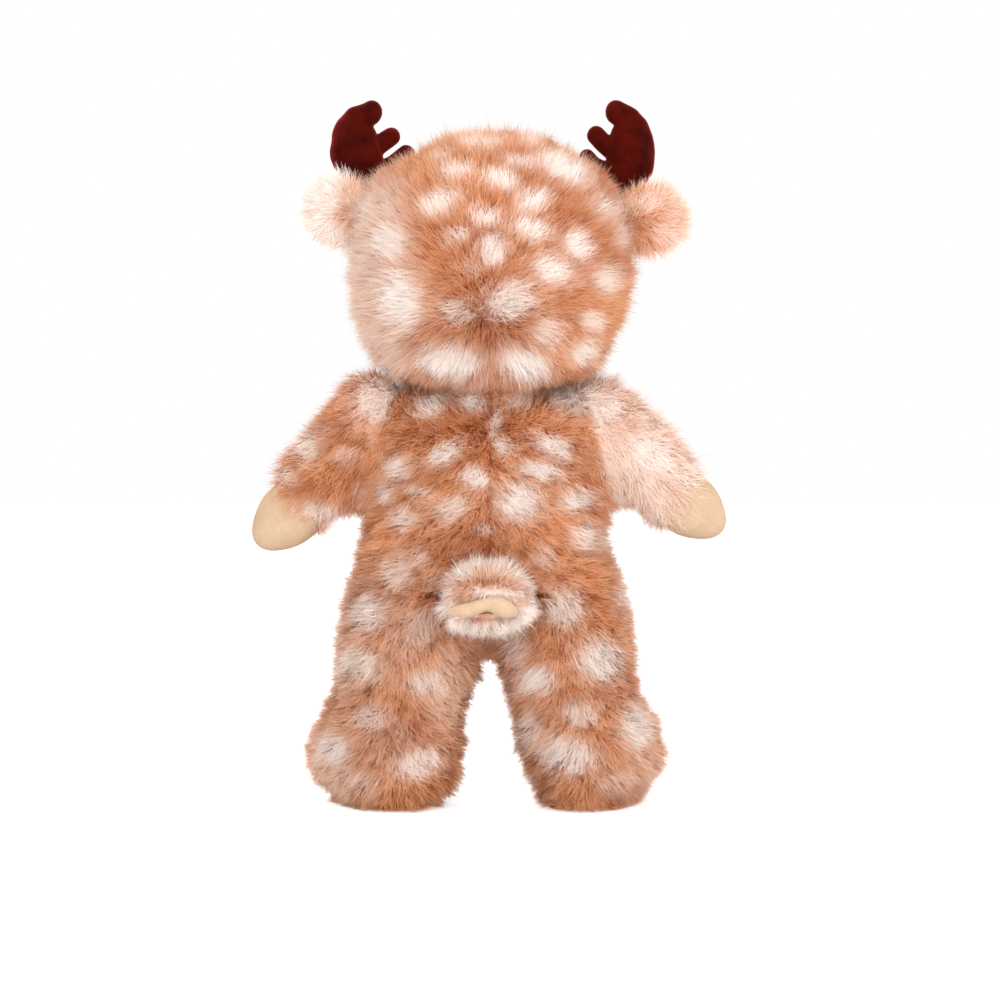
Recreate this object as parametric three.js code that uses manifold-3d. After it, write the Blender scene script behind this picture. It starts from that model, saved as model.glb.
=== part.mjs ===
// A soft deer doll that stands about 410 mm tall: spotted long-pile fur over polyester filling, with velour
// hands, soles, ear linings, tail lining, muzzle and antlers, and plastic safety eyes.
// Millimetres, +Z up. The doll faces -Y, its own left is +X, and the origin is on the floor under its middle.
// Every fur and velour panel is a shell, open where it is sewn to the next one, with the filling inside.
import * as THREE from "three";
import { mergeVertices } from "three/addons/utils/BufferGeometryUtils.js";
import Module from "manifold-3d";

// Fabrics, and the gaps between pieces
const furThickness = 8; // backing and the pile as it lies
const velourThickness = 2;
const seamGap = 0.4; // between two panels that are sewn together
const fillingGap = 0.4; // between a panel and the filling behind it
const swingGap = 0.8; // between faces that turn against each other

// Heights above the floor
const hipHeight = 112;
const neckHeight = 249;

// Neck: a ball of filling that the head turns and nods on
const neckRadius = 25;

// Torso
const hipHalfWidth = 87;
const chestHalfWidth = 68;
const hipHalfDepth = 54;
const chestHalfDepth = 45;
const chestDrop = 50; // of the level where the shoulders start to round over, below the neck
const torsoTopDrop = 7.5; // of the top of the torso, below the neck
const torsoForward = 4;
const torsoTaper = 1.6; // how soon it narrows above the hips
const torsoFullness = 2.5;
const shoulderFullness = 4.2; // as seen from behind
const napeFullness = 2.2; // as seen from the side

// Head
const headRise = 67; // of its widest level above the neck
const headHalfWidth = 82;
const headHalfDepth = 73;
const crownHeight = 76; // from the widest level up
const jawHeight = 70.5; // from the widest level down
const headShift = -1.8; // the head sits a little to the doll's right
const crownFullness = 2.2;
const jawFullness = 3.2;

// Muzzle and nose: half sizes across, through and up
const muzzleHalf = [28, 30, 20];
const muzzleDrop = 22; // below the head's widest level
const muzzleReach = 57; // of its middle in front of the head's middle
const noseHalf = [10, 7, 7];
const noseRise = 8; // above the muzzle's middle
const noseReach = 26; // in front of the muzzle's middle

// Safety eyes, each on a stem that a washer holds from inside
const eyeRadius = 6.5;
const eyeDome = 5;
const eyeRim = 1;
const eyeSink = 3; // of the rim into the pile
const eyeSpacing = 62;
const eyeRise = 2; // above the head's widest level
const stemRadius = 2.2;
const stemEnd = 1.6; // of the stem past the washer
const eyeClear = 20; // of the hole through the pile in front of an eye
const washerRadius = 8;
const washerThickness = 1.6;

// Ears: half sizes along, through and up, and the middle of each from the middle of the head
const earHalf = [20, 9, 21];
const earOut = { left: 89, right: 93 };
const earRise = { left: 28, right: 23 };
const earBack = 6;
const earRootDepth = 13; // of the root inward from the ear's middle
const earRootRadius = 9;
const earSwing = 15;
const liningHalf = [13, 4, 14];
const liningShift = 2; // outward from the ear's middle
const liningSink = 1.5; // into the front of the ear

// Antlers: stations from the middle of the head, outward and up, with the half width there
const antlerBeam = [
  { out: 66, up: 40, half: 9 },
  { out: 75, up: 47, half: 10 },
  { out: 82, up: 57, half: 11.4 },
  { out: 83, up: 68, half: 11.5 },
  { out: 78.5, up: 79, half: 11 },
  { out: 71.5, up: 86, half: 7.5 },
];
const antlerUpperTine = [
  { out: 79, up: 65, half: 9 },
  { out: 67, up: 70, half: 6.8 },
  { out: 57, up: 73.5, half: 5.2 },
];
const antlerLowerTine = [
  { out: 76, up: 53, half: 8 },
  { out: 64, up: 58, half: 5.6 },
  { out: 49.5, up: 65, half: 4.6 },
];
const antlerFlatness = 0.68; // thickness over width
const antlerBack = -6;
const antlerRootRadius = 8;

// Tail: half sizes across, through and up
const tailHalf = [27, 17, 21];
const tailRise = 12; // of its middle above the hips
const tailBack = 17; // of its middle behind its root
const tailRootRadius = 11;
const tailRootRise = 4; // of the root above the tail's middle
const tailSwing = 15;
const lobeHalf = { left: [11.5, 5, 4.4], right: [9.2, 5, 5.8] };
const lobeOut = { left: 11.2, right: 8.4 };
const lobeDrop = { left: 9, right: 7.4 }; // below the tail's middle
const lobeBack = 15; // behind the tail's middle

// Arms, each cut by the plane of its shoulder seam
const shoulderOut = 60;
const shoulderDrop = 40; // of the seam's middle below the neck
const shoulderSlant = 16; // degrees from upright
const armSlope = 33; // degrees below level
const armHang = { left: 1.5, right: -1.5 }; // degrees more for each arm
// Stations from the middle of the seam along the arm and above its line, with half sizes across and through
const armStations = [
  { reach: -34, rise: 6, half: [19, 13] },
  { reach: -20, rise: 8, half: [32, 21] },
  { reach: -5, rise: 10, half: [35.5, 24] },
  { reach: 15, rise: 8, half: [32.5, 24] },
  { reach: 40, rise: 4.5, half: [27, 21] },
  { reach: 63.5, rise: 0, half: [21.5, 16.5] },
  { reach: 74, rise: -3, half: [18, 14] },
];
const armFullness = 2.1;
const wristReach = 63.5;
const wristRise = -1;
const wristSlope = 8; // degrees that the hand points below the arm
const wristOverlap = 6; // of the arm's filling into the hand
const armholeRadius = 17;
const armholeDepth = 10;
const handHalf = [17.5, 13.5, 27]; // across and through, and its length past the wrist
const handFullness = 2.2;

// Legs
const legOut = 43.6; // of each hip from the middle
const hipRadius = 40;
const hipHalfLength = 33; // of the round of the hip, along its axis
const hipFullness = 2.4;
const legForward = 30;
const legBack = 10;
const toesOut = 24; // degrees
const hipHalf = [41.5, 43];
const thighHalf = [42.7, 42];
const thighHeight = 90;
const thighOut = 44.4;
const ankleHeight = 64;
const ankleOut = 50;
const ankleHalf = [39.5, 37];
const ankleForward = 1;
const ankleTurn = 0.25; // of the toes' turn
const instepHeight = 50;
const instepOut = 56;
const instepHalf = [42, 45];
const instepForward = 6.5;
const instepTurn = 0.67; // of the toes' turn
const footHeight = 34; // of its widest level
const footHalf = [42.5, 52];
const footOut = 58;
const footForward = 13;
const soleHalf = [26.5, 41];
const soleForward = 14;
const soleThickness = 2.5;
const soleRounding = 1.9; // of the foot's sides into its sole
const soleWelt = 2.6; // of fur round the edge of the sole
const furLift = 0.8; // of the fur above the floor
const legFullness = 2.15;

const headMiddle = new THREE.Vector3(headShift, 0, neckHeight + headRise);
const chestLevel = neckHeight - chestDrop;
const torsoTop = neckHeight - torsoTopDrop;
const shoulderHeight = neckHeight - shoulderDrop;
const tailMiddle = hipHeight + tailRise;
const sides = { left: 1, right: -1 };
const farAway = 400; // longer than any piece, for the solids that only cut

// Points round an outer skin and round what lies behind it, and levels along a rounded form
const outerPoints = 24;
const innerPoints = 12;
const smallPoints = 16;
const rootPoints = 12;
const tinePoints = 8;
const neckPoints = 20;
const headLevels = 14;
const torsoLevels = 6;
const fineLevels = 10;
const plainLevels = 8;
const smallLevels = 6;
const roundSteps = [0.4, 0.75, 1]; // shares of the way round a tip or an edge, where its rings are

const wasm = await Module();
wasm.setup();

const radians = THREE.MathUtils.degToRad;
const along = (x, y, z) => new THREE.Vector3(x, y, z);

const surface = (color, roughness) => new THREE.MeshStandardMaterial({ color, roughness, metalness: 0 });
const materials = {
  fur: surface(0xcf9c7a, 0.95),
  velour: surface(0xecd1a9, 0.9),
  antler: surface(0x5a160e, 0.85),
  filling: surface(0xf4f1ea, 1),
  eye: surface(0x160e0b, 0.12),
  nose: surface(0x3c1c14, 0.6),
  washer: surface(0xe6e6e2, 0.4),
};

const doll = new THREE.Group();

// A geometry as a solid that can be joined and cut, after it is moved by a matrix
function solid(geometry, matrix = new THREE.Matrix4()) {
  const bare = geometry.clone().applyMatrix4(matrix);
  for (const name of Object.keys(bare.attributes)) {
    if (name !== "position") bare.deleteAttribute(name);
  }
  const merged = mergeVertices(bare, 1e-4);
  return new wasm.Manifold(
    new wasm.Mesh({
      numProp: 3,
      vertProperties: new Float32Array(merged.attributes.position.array),
      triVerts: new Uint32Array(merged.index.array),
    }),
  );
}

function addPiece(name, body, material) {
  const { vertProperties, triVerts } = body.getMesh();
  const geometry = new THREE.BufferGeometry();
  geometry.setAttribute("position", new THREE.BufferAttribute(vertProperties, 3));
  geometry.setIndex(new THREE.BufferAttribute(triVerts, 1));
  geometry.computeVertexNormals();
  const mesh = new THREE.Mesh(geometry, material);
  mesh.name = name;
  doll.add(mesh);
}

// Moves a shape drawn about the origin to a place, with its own Z axis along a direction
function placed(position, direction = along(0, 0, 1)) {
  const swing = new THREE.Quaternion().setFromUnitVectors(along(0, 0, 1), direction.clone().normalize());
  return new THREE.Matrix4().compose(position, swing, along(1, 1, 1));
}

function turned(point, axis, degrees) {
  const back = new THREE.Matrix4().makeTranslation(-point.x, -point.y, -point.z);
  const turn = new THREE.Matrix4().makeRotationAxis(axis, radians(degrees));
  return new THREE.Matrix4().makeTranslation(point.x, point.y, point.z).multiply(turn).multiply(back);
}

// What a shape covers at rest and at both ends of its turn about an axis
function swept(geometry, point, axis, degrees) {
  const ends = [-degrees, degrees].map((angle) => solid(geometry, turned(point, axis, angle)));
  return solid(geometry).add(ends[0]).add(ends[1]);
}

const softPower = (value, fullness) => Math.sign(value) * Math.abs(value) ** (2 / fullness);

// A closed skin through rings, each a superellipse in a frame of its own; a ring without size is a tip
function loft(rings, segments, fullness = 2) {
  const open = rings.filter(({ half }) => half[0] > 0);
  const positions = [...rings[0].at];
  for (const { at, across, through, half } of open) {
    for (let k = 0; k < segments; k++) {
      const angle = (2 * Math.PI * k) / segments;
      const point = at.clone();
      point.addScaledVector(across, half[0] * softPower(Math.cos(angle), fullness));
      point.addScaledVector(through, half[1] * softPower(Math.sin(angle), fullness));
      positions.push(...point);
    }
  }
  positions.push(...rings.at(-1).at);
  const index = [];
  const end = 1 + open.length * segments;
  for (let k = 0; k < segments; k++) {
    const next = (k + 1) % segments;
    index.push(0, 1 + next, 1 + k);
    index.push(end, end - segments + k, end - segments + next);
    for (let level = 0; level < open.length - 1; level++) {
      const low = 1 + level * segments;
      const high = low + segments;
      index.push(low + k, low + next, high + next);
      index.push(low + k, high + next, high + k);
    }
  }
  const geometry = new THREE.BufferGeometry();
  geometry.setAttribute("position", new THREE.Float32BufferAttribute(positions, 3));
  geometry.setIndex(index);
  return geometry;
}

function levelRing(x, y, z, half, turn = 0) {
  const across = along(Math.cos(radians(turn)), Math.sin(radians(turn)), 0);
  const through = along(-across.y, across.x, 0);
  return { at: along(x, y, z), across, through, half };
}

// A point on a quarter of a superellipse: its share of the width, and of the height
function quarter(angle, fullness) {
  const flat = Math.cos(angle);
  const tall = Math.sin(angle);
  const reach = (flat ** fullness + tall ** fullness) ** (-1 / fullness);
  return [flat * reach, tall * reach];
}

// An egg about the origin, with its own fullness above and below its widest level
function egg({ half, up, down = up, upFullness = 2, downFullness = upFullness }, levels, segments) {
  const rings = [];
  for (let level = 0; level <= levels; level++) {
    const angle = Math.PI * (level / levels - 0.5);
    const isTip = level === 0 || level === levels;
    const [width, height] = quarter(Math.abs(angle), angle > 0 ? upFullness : downFullness);
    const share = isTip ? 0 : width;
    const z = angle > 0 ? height * up : -height * down;
    rings.push(levelRing(0, 0, z, [half[0] * share, half[1] * share]));
  }
  return loft(rings, segments);
}

function ball(radius, segments = smallPoints) {
  return egg({ half: [radius, radius], up: radius }, segments / 2, segments);
}

// Smooth values between stations that each hold three numbers
function smooth(stations, count) {
  return new THREE.CatmullRomCurve3(stations.map((values) => along(...values))).getPoints(count);
}

// Everything on the far side of a plane
function beyond(point, direction) {
  const block = new THREE.BoxGeometry(farAway, farAway, farAway);
  return solid(block, placed(point.clone().addScaledVector(direction, farAway / 2), direction));
}

// A round bar along a direction, from one distance to another
function bar(radius, low, high, point, direction, segments = smallPoints) {
  const geometry = new THREE.CylinderGeometry(radius, radius, high - low, segments).rotateX(Math.PI / 2);
  return solid(geometry.translate(0, 0, (low + high) / 2), placed(point, direction));
}

const neck = along(0, 0, neckHeight);
const neckPocket = solid(ball(neckRadius + swingGap, neckPoints), placed(neck));

// Head: an egg, fuller at the jaw than at the crown
function headSkin(inset, segments = outerPoints) {
  const half = [headHalfWidth - inset, headHalfDepth - inset];
  const up = crownHeight - inset;
  const down = jawHeight - inset;
  const shape = { half, up, down, upFullness: crownFullness, downFullness: jawFullness };
  const levels = segments > innerPoints ? headLevels : headLevels / 2;
  return egg(shape, levels, segments).applyMatrix4(placed(headMiddle));
}

// Muzzle: velour over its own filling, sewn on the face, with the nose on its front
function muzzleSkin(inset) {
  const [across, deep, tall] = muzzleHalf;
  const middle = headMiddle.clone().add(along(0, -muzzleReach, -muzzleDrop));
  const shape = { half: [across - inset, deep - inset], up: tall - inset };
  return solid(egg(shape, plainLevels, smallPoints), placed(middle));
}

function addMuzzle() {
  const face = solid(headSkin(-seamGap));
  addPiece("muzzle", muzzleSkin(0).subtract(muzzleSkin(velourThickness)).subtract(face), materials.velour);
  const filling = muzzleSkin(velourThickness + fillingGap).subtract(face);
  addPiece("muzzle_filling", filling, materials.filling);
  const [across, deep, tall] = noseHalf;
  const middle = headMiddle.clone().add(along(0, -muzzleReach - noseReach, noseRise - muzzleDrop));
  const nose = solid(egg({ half: [across, deep], up: tall }, plainLevels, smallPoints), placed(middle));
  addPiece("nose", nose.subtract(muzzleSkin(-seamGap)), materials.nose);
}

// Where the fur of the face is at an eye, and which way it looks
function eyePlace(side) {
  const out = (sides[side] * eyeSpacing) / 2;
  const share = (1 - (eyeRise / crownHeight) ** crownFullness) ** (1 / crownFullness);
  const width = headHalfWidth * share;
  const depth = headHalfDepth * share;
  const forward = depth * Math.sqrt(1 - (out / width) ** 2);
  const position = headMiddle.clone().add(along(out, -forward, eyeRise));
  const direction = along(out / width ** 2, -forward / depth ** 2, 0).normalize();
  return { seat: position.addScaledVector(direction, -eyeSink), direction };
}

const skinBack = eyeSink - furThickness; // behind an eye's seat
const washerBack = skinBack - fillingGap - washerThickness;
const stemBack = washerBack - stemEnd;

function addEye(side) {
  const { seat, direction } = eyePlace(side);
  const outline = [new THREE.Vector2(0, stemBack), new THREE.Vector2(stemRadius, stemBack)];
  outline.push(new THREE.Vector2(stemRadius, 0), new THREE.Vector2(eyeRadius, 0));
  const steps = 4;
  for (let step = 0; step < steps; step++) {
    const angle = ((Math.PI / 2) * step) / steps;
    outline.push(new THREE.Vector2(eyeRadius * Math.cos(angle), eyeRim + eyeDome * Math.sin(angle)));
  }
  outline.push(new THREE.Vector2(0, eyeRim + eyeDome));
  const eye = new THREE.LatheGeometry(outline, rootPoints).rotateX(Math.PI / 2);
  addPiece(`eye_${side}`, solid(eye, placed(seat, direction)), materials.eye);
  const washer = bar(washerRadius, washerBack, washerBack + washerThickness, seat, direction, rootPoints);
  const bore = bar(stemRadius + seamGap, stemBack, 0, seat, direction, rootPoints);
  addPiece(`eye_washer_${side}`, washer.subtract(bore), materials.washer);
}

function eyeHole(side) {
  const { seat, direction } = eyePlace(side);
  const stem = bar(stemRadius + seamGap, stemBack - fillingGap, eyeRim, seat, direction, rootPoints);
  return bar(eyeRadius + seamGap, -seamGap, eyeClear, seat, direction, rootPoints).add(stem);
}

function washerRoom(side) {
  const { seat, direction } = eyePlace(side);
  return bar(washerRadius + fillingGap, stemBack - fillingGap, skinBack, seat, direction, rootPoints);
}

// Antlers: each a stuffed beam with two tines, flatter than they are wide, on a root sewn into the head
function branch(stations, side, grow, segments) {
  const points = smooth(
    stations.map(({ out, up, half }) => [sides[side] * out, up, half + grow]),
    (stations.length - 1) * 2,
  );
  const ring = (out, up, heading, half) => {
    const at = headMiddle.clone().add(along(out, antlerBack, up));
    return { at, across: along(heading.z, 0, -heading.x), through: along(0, 1, 0), half };
  };
  const rings = points.map((point, step) => {
    const before = points[Math.max(step - 1, 0)];
    const after = points[Math.min(step + 1, points.length - 1)];
    const heading = along(after.x - before.x, 0, after.y - before.y).normalize();
    return { ...ring(point.x, point.y, heading, [point.z, point.z * antlerFlatness]), heading };
  });
  const tip = points.at(-1);
  const { heading } = rings.at(-1);
  for (const angle of roundSteps.map((share) => (share * Math.PI) / 2)) {
    const reach = tip.z * Math.sin(angle);
    const half = angle < Math.PI / 2 ? tip.z * Math.cos(angle) : 0;
    const size = [half, half * antlerFlatness];
    rings.push(ring(tip.x + heading.x * reach, tip.y + heading.z * reach, heading, size));
  }
  return loft(rings, segments);
}

function antlerForm(side, grow, matrix) {
  const beam = solid(branch(antlerBeam, side, grow, rootPoints), matrix);
  const upper = solid(branch(antlerUpperTine, side, grow, tinePoints), matrix);
  return beam.add(upper).add(solid(branch(antlerLowerTine, side, grow, tinePoints), matrix));
}

function antlerRoot(side) {
  const [{ out, up }] = antlerBeam;
  return headMiddle.clone().add(along(sides[side] * out, antlerBack, up));
}

function addAntler(side) {
  const antler = antlerForm(side, 0).subtract(solid(headSkin(-seamGap)));
  const root = solid(ball(antlerRootRadius, rootPoints), placed(antlerRoot(side)));
  addPiece(`antler_${side}`, antler.add(root), materials.antler);
}

// Ears: a fur back with a velour lining sewn into its front, on a root that bends at the head
function earPlace(side) {
  const middle = headMiddle.clone().add(along(sides[side] * earOut[side], earBack, earRise[side]));
  return { middle, root: middle.clone().add(along(-sides[side] * earRootDepth, 0, 0)) };
}

function addEar(side) {
  const { middle, root } = earPlace(side);
  const [out, deep, tall] = earHalf;
  const [liningOut, liningDeep, liningTall] = liningHalf;
  const front = middle.clone().add(along(sides[side] * liningShift, liningSink - deep, 0));
  const lining = (grow) => {
    const half = [liningOut + grow, liningDeep + grow];
    return solid(egg({ half, up: liningTall + grow }, plainLevels, smallPoints), placed(front));
  };
  let around = swept(headSkin(-swingGap), root, along(0, 0, 1), earSwing);
  for (const angle of [-earSwing, -earSwing / 2, 0, earSwing / 2, earSwing]) {
    around = around.add(antlerForm(side, swingGap, turned(root, along(0, 0, 1), angle)));
  }
  const shape = egg({ half: [out, deep], up: tall }, fineLevels, smallPoints);
  const disc = solid(shape, placed(middle)).subtract(around);
  const joined = disc.add(solid(ball(earRootRadius, rootPoints), placed(root)));
  addPiece(`ear_${side}_fur`, joined.subtract(lining(seamGap)), materials.fur);
  addPiece(`ear_${side}_lining`, lining(0).subtract(around), materials.velour);
}

function addHead() {
  let skin = solid(headSkin(0)).subtract(solid(headSkin(furThickness, innerPoints))).subtract(neckPocket);
  let filling = solid(headSkin(furThickness + fillingGap, innerPoints)).subtract(neckPocket);
  for (const side of Object.keys(sides)) {
    const earPocket = solid(ball(earRootRadius + swingGap, rootPoints), placed(earPlace(side).root));
    const antlerPocket = solid(ball(antlerRootRadius + seamGap, rootPoints), placed(antlerRoot(side)));
    for (const room of [earPocket, antlerPocket, eyeHole(side), washerRoom(side)]) {
      skin = skin.subtract(room);
      filling = filling.subtract(room);
    }
  }
  addPiece("head_fur", skin, materials.fur);
  addPiece("head_filling", filling, materials.filling);
  addPiece("neck_filling", solid(ball(neckRadius, neckPoints), placed(neck)), materials.filling);
}

// Hips: the rounds that the legs turn on, and the room that the thighs need to swing
const hipPlace = (side) => along(sides[side] * legOut, 0, hipHeight);

function hipRound(side, grow, segments = outerPoints) {
  const radius = hipRadius + grow;
  const shape = { half: [radius, radius], up: hipHalfLength + grow, upFullness: hipFullness };
  return solid(egg(shape, plainLevels, segments), placed(hipPlace(side), along(1, 0, 0)));
}

function thighRoom(inset) {
  const low = hipHeight + inset / Math.cos(radians(legForward));
  const outline = new THREE.Shape([
    new THREE.Vector2(0, low),
    new THREE.Vector2(-farAway, low + farAway * Math.tan(radians(legForward))),
    new THREE.Vector2(-farAway, -farAway),
    new THREE.Vector2(farAway, -farAway),
    new THREE.Vector2(farAway, low + farAway * Math.tan(radians(legBack))),
  ]);
  const wedge = new THREE.ExtrudeGeometry(outline, { depth: farAway, bevelEnabled: false });
  // The outline's own axes become Y and Z
  const stand = new THREE.Matrix4().makeBasis(along(0, 1, 0), along(0, 0, 1), along(1, 0, 0));
  return solid(wedge.translate(0, 0, -farAway / 2), stand);
}

// Shoulder seams: a plane on each side, and the hole in it that the filling passes through
function shoulderPlace(side) {
  const slant = radians(shoulderSlant);
  const direction = along(sides[side] * Math.cos(slant), 0, Math.sin(slant));
  return { seam: along(sides[side] * shoulderOut, 0, shoulderHeight), direction };
}

// Torso: it narrows from the hips to the chest, then rounds over to the neck
function torsoSkin(inset, segments) {
  const rings = [];
  const low = hipHeight - furThickness;
  for (let level = 0; level < torsoLevels; level++) {
    const share = level / torsoLevels;
    const ease = 1 - (1 - share) ** torsoTaper;
    const width = THREE.MathUtils.lerp(hipHalfWidth, chestHalfWidth, ease) - inset;
    const depth = THREE.MathUtils.lerp(hipHalfDepth, chestHalfDepth, ease) - inset;
    rings.push(levelRing(0, -torsoForward, THREE.MathUtils.lerp(low, chestLevel, share), [width, depth]));
  }
  for (let level = 0; level <= torsoLevels; level++) {
    const [, height] = quarter((Math.PI / 2) * (level / torsoLevels), napeFullness);
    const wide = (1 - height ** shoulderFullness) ** (1 / shoulderFullness);
    const deep = (1 - height ** napeFullness) ** (1 / napeFullness);
    const half = [(chestHalfWidth - inset) * wide, (chestHalfDepth - inset) * deep];
    const isTip = level === torsoLevels;
    const z = chestLevel + height * (torsoTop - inset - chestLevel);
    rings.push(levelRing(0, -torsoForward, z, isTip ? [0, 0] : half));
  }
  return loft(rings, segments, torsoFullness);
}

function torsoForm(inset, segments) {
  let form = solid(torsoSkin(inset, segments)).subtract(thighRoom(inset));
  for (const side of Object.keys(sides)) {
    const { seam, direction } = shoulderPlace(side);
    form = form.subtract(hipRound(side, swingGap + inset, segments));
    form = form.subtract(beyond(seam.addScaledVector(direction, -inset), direction));
  }
  return form;
}

function addTorso() {
  const tailPocket = solid(ball(tailRootRadius + swingGap), placed(tailRoot));
  const hollow = torsoForm(furThickness, innerPoints);
  let skin = torsoForm(0, outerPoints).subtract(hollow).subtract(neckPocket).subtract(tailPocket);
  let filling = torsoForm(furThickness + fillingGap, innerPoints).subtract(neckPocket).subtract(tailPocket);
  for (const side of Object.keys(sides)) {
    const { seam, direction } = shoulderPlace(side);
    const depth = furThickness + armholeDepth;
    const armhole = bar(armholeRadius, -depth - swingGap, furThickness, seam, direction);
    skin = skin.subtract(armhole);
    filling = filling.subtract(armhole);
  }
  addPiece("torso_fur", skin, materials.fur);
  addPiece("torso_filling", filling, materials.filling);
}

// Tail: a fur tuft that hangs over a two-lobed velour lining
const tailRoot = along(0, hipHalfDepth - torsoForward, tailMiddle + tailRootRise);

function addTail() {
  const [across, deep, tall] = tailHalf;
  const middle = along(0, tailRoot.y + tailBack, tailMiddle);
  const body = swept(torsoSkin(-swingGap, outerPoints), tailRoot, along(1, 0, 0), tailSwing);
  const shape = egg({ half: [across, deep], up: tall }, fineLevels, smallPoints);
  const tuft = solid(shape, placed(middle)).subtract(body);
  const lobe = (side, grow) => {
    const [wide, thick, high] = lobeHalf[side].map((half) => half + grow);
    const place = along(sides[side] * lobeOut[side], middle.y + lobeBack, middle.z - lobeDrop[side]);
    return solid(egg({ half: [wide, thick], up: high }, smallLevels, smallPoints), placed(place));
  };
  const lobes = (grow) => lobe("left", grow).add(lobe("right", grow));
  const root = solid(ball(tailRootRadius), placed(tailRoot));
  addPiece("tail_fur", tuft.add(root).subtract(lobes(seamGap)), materials.fur);
  addPiece("tail_lining", lobes(0), materials.velour);
}

// Arms: the stations along one arm, in the upright plane of its shoulder
function armFrame(side, slope) {
  const angle = radians(slope + armHang[side]);
  const reach = along(sides[side] * Math.cos(angle), 0, -Math.sin(angle));
  return { reach, rise: along(sides[side] * Math.sin(angle), 0, Math.cos(angle)) };
}

function wristPlace(side) {
  const { reach, rise } = armFrame(side, armSlope);
  const { seam } = shoulderPlace(side);
  const wrist = seam.addScaledVector(reach, wristReach).addScaledVector(rise, wristRise);
  return { wrist, direction: armFrame(side, armSlope + wristSlope).reach };
}

function armSkin(side, inset, segments) {
  const { reach, rise } = armFrame(side, armSlope);
  const { seam } = shoulderPlace(side);
  const count = (armStations.length - 1) * 2;
  const line = smooth(armStations.map((station) => [station.reach, station.rise, 0]), count);
  const size = smooth(armStations.map(({ half }) => [half[0], half[1], 0]), count);
  const through = along(0, -sides[side], 0);
  const rings = line.map((point, step) => {
    const at = seam.clone().addScaledVector(reach, point.x).addScaledVector(rise, point.y);
    return { at, across: rise, through, half: [size[step].x - inset, size[step].y - inset] };
  });
  return solid(loft(rings, segments, armFullness));
}

function armForm(side, inset, segments) {
  const { seam, direction } = shoulderPlace(side);
  const root = seam.addScaledVector(direction, seamGap + inset);
  return armSkin(side, inset, segments).subtract(beyond(root, direction.clone().negate()));
}

// Hand: a velour mitten, widest where it is sewn into the cuff
function handForm(side, inset, segments = innerPoints) {
  const { wrist, direction } = wristPlace(side);
  const [across, deep, long] = handHalf;
  const half = [across - inset, deep - inset];
  const shape = { half, up: long - inset, upFullness: handFullness };
  return solid(egg(shape, fineLevels, segments), placed(wrist, direction));
}

function addArm(side) {
  const { seam, direction } = shoulderPlace(side);
  const wristEnd = wristPlace(side);
  const pastWrist = (distance) => {
    return beyond(wristEnd.wrist.clone().addScaledVector(wristEnd.direction, distance), wristEnd.direction);
  };
  const boss = bar(armholeRadius - swingGap, -furThickness - armholeDepth, 2 * furThickness, seam, direction);
  const hole = bar(armholeRadius - swingGap + fillingGap, 0, 2 * furThickness + fillingGap, seam, direction);
  const hollow = armForm(side, furThickness, smallPoints);
  const sleeve = armForm(side, 0, smallPoints).subtract(pastWrist(0)).subtract(hollow).subtract(hole);
  addPiece(`arm_${side}_fur`, sleeve, materials.fur);
  const palm = handForm(side, velourThickness + fillingGap).intersect(pastWrist(seamGap + fillingGap));
  const upper = armForm(side, furThickness + fillingGap, smallPoints).subtract(pastWrist(wristOverlap));
  addPiece(`arm_${side}_filling`, upper.add(boss).add(palm), materials.filling);
  const glove = handForm(side, 0, smallPoints).subtract(handForm(side, velourThickness));
  addPiece(`hand_${side}`, glove.intersect(pastWrist(seamGap)), materials.velour);
}

// Legs: a thigh that narrows to the ankle, and a boot-shaped foot on a velour sole
function legSkin(side, inset, floor, segments) {
  const mirror = sides[side];
  const stations = [
    { z: hipHeight - swingGap - inset, out: legOut, forward: 0, half: hipHalf, turn: 0 },
    { z: thighHeight, out: thighOut, forward: 0, half: thighHalf, turn: 0 },
    { z: ankleHeight, out: ankleOut, forward: ankleForward, half: ankleHalf, turn: toesOut * ankleTurn },
    { z: instepHeight, out: instepOut, forward: instepForward, half: instepHalf, turn: toesOut * instepTurn },
    { z: footHeight, out: footOut, forward: footForward, half: footHalf, turn: toesOut },
    { z: footHeight / 2, out: footOut, forward: soleForward, half: footHalf, turn: toesOut },
  ];
  const count = (stations.length - 1) * (segments > innerPoints ? 2 : 1);
  const line = smooth(stations.map(({ out, forward, z }) => [mirror * out, -forward, z]), count);
  const size = smooth(stations.map(({ half, turn }) => [half[0], half[1], mirror * turn]), count);
  const rings = line.map((at, step) => {
    const half = [size[step].x - inset, size[step].y - inset];
    return levelRing(at.x, at.y, at.z, half, size[step].z);
  });
  const bottom = rings.at(-1).at;
  for (const share of roundSteps) {
    const z = THREE.MathUtils.lerp(bottom.z, floor, share);
    const ease = share ** soleRounding;
    const half = [0, 1].map((k) => THREE.MathUtils.lerp(footHalf[k], soleHalf[k] + soleWelt, ease) - inset);
    rings.push(levelRing(bottom.x, bottom.y, z, half, mirror * toesOut));
  }
  return solid(loft(rings.reverse(), segments, legFullness));
}

function solePlate(side, grow, low, high, segments = outerPoints) {
  const half = [soleHalf[0] + grow, soleHalf[1] + grow];
  const rings = [low, high].map((z) => {
    return levelRing(sides[side] * footOut, -soleForward, z, half, sides[side] * toesOut);
  });
  return solid(loft(rings, segments, legFullness));
}

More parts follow.
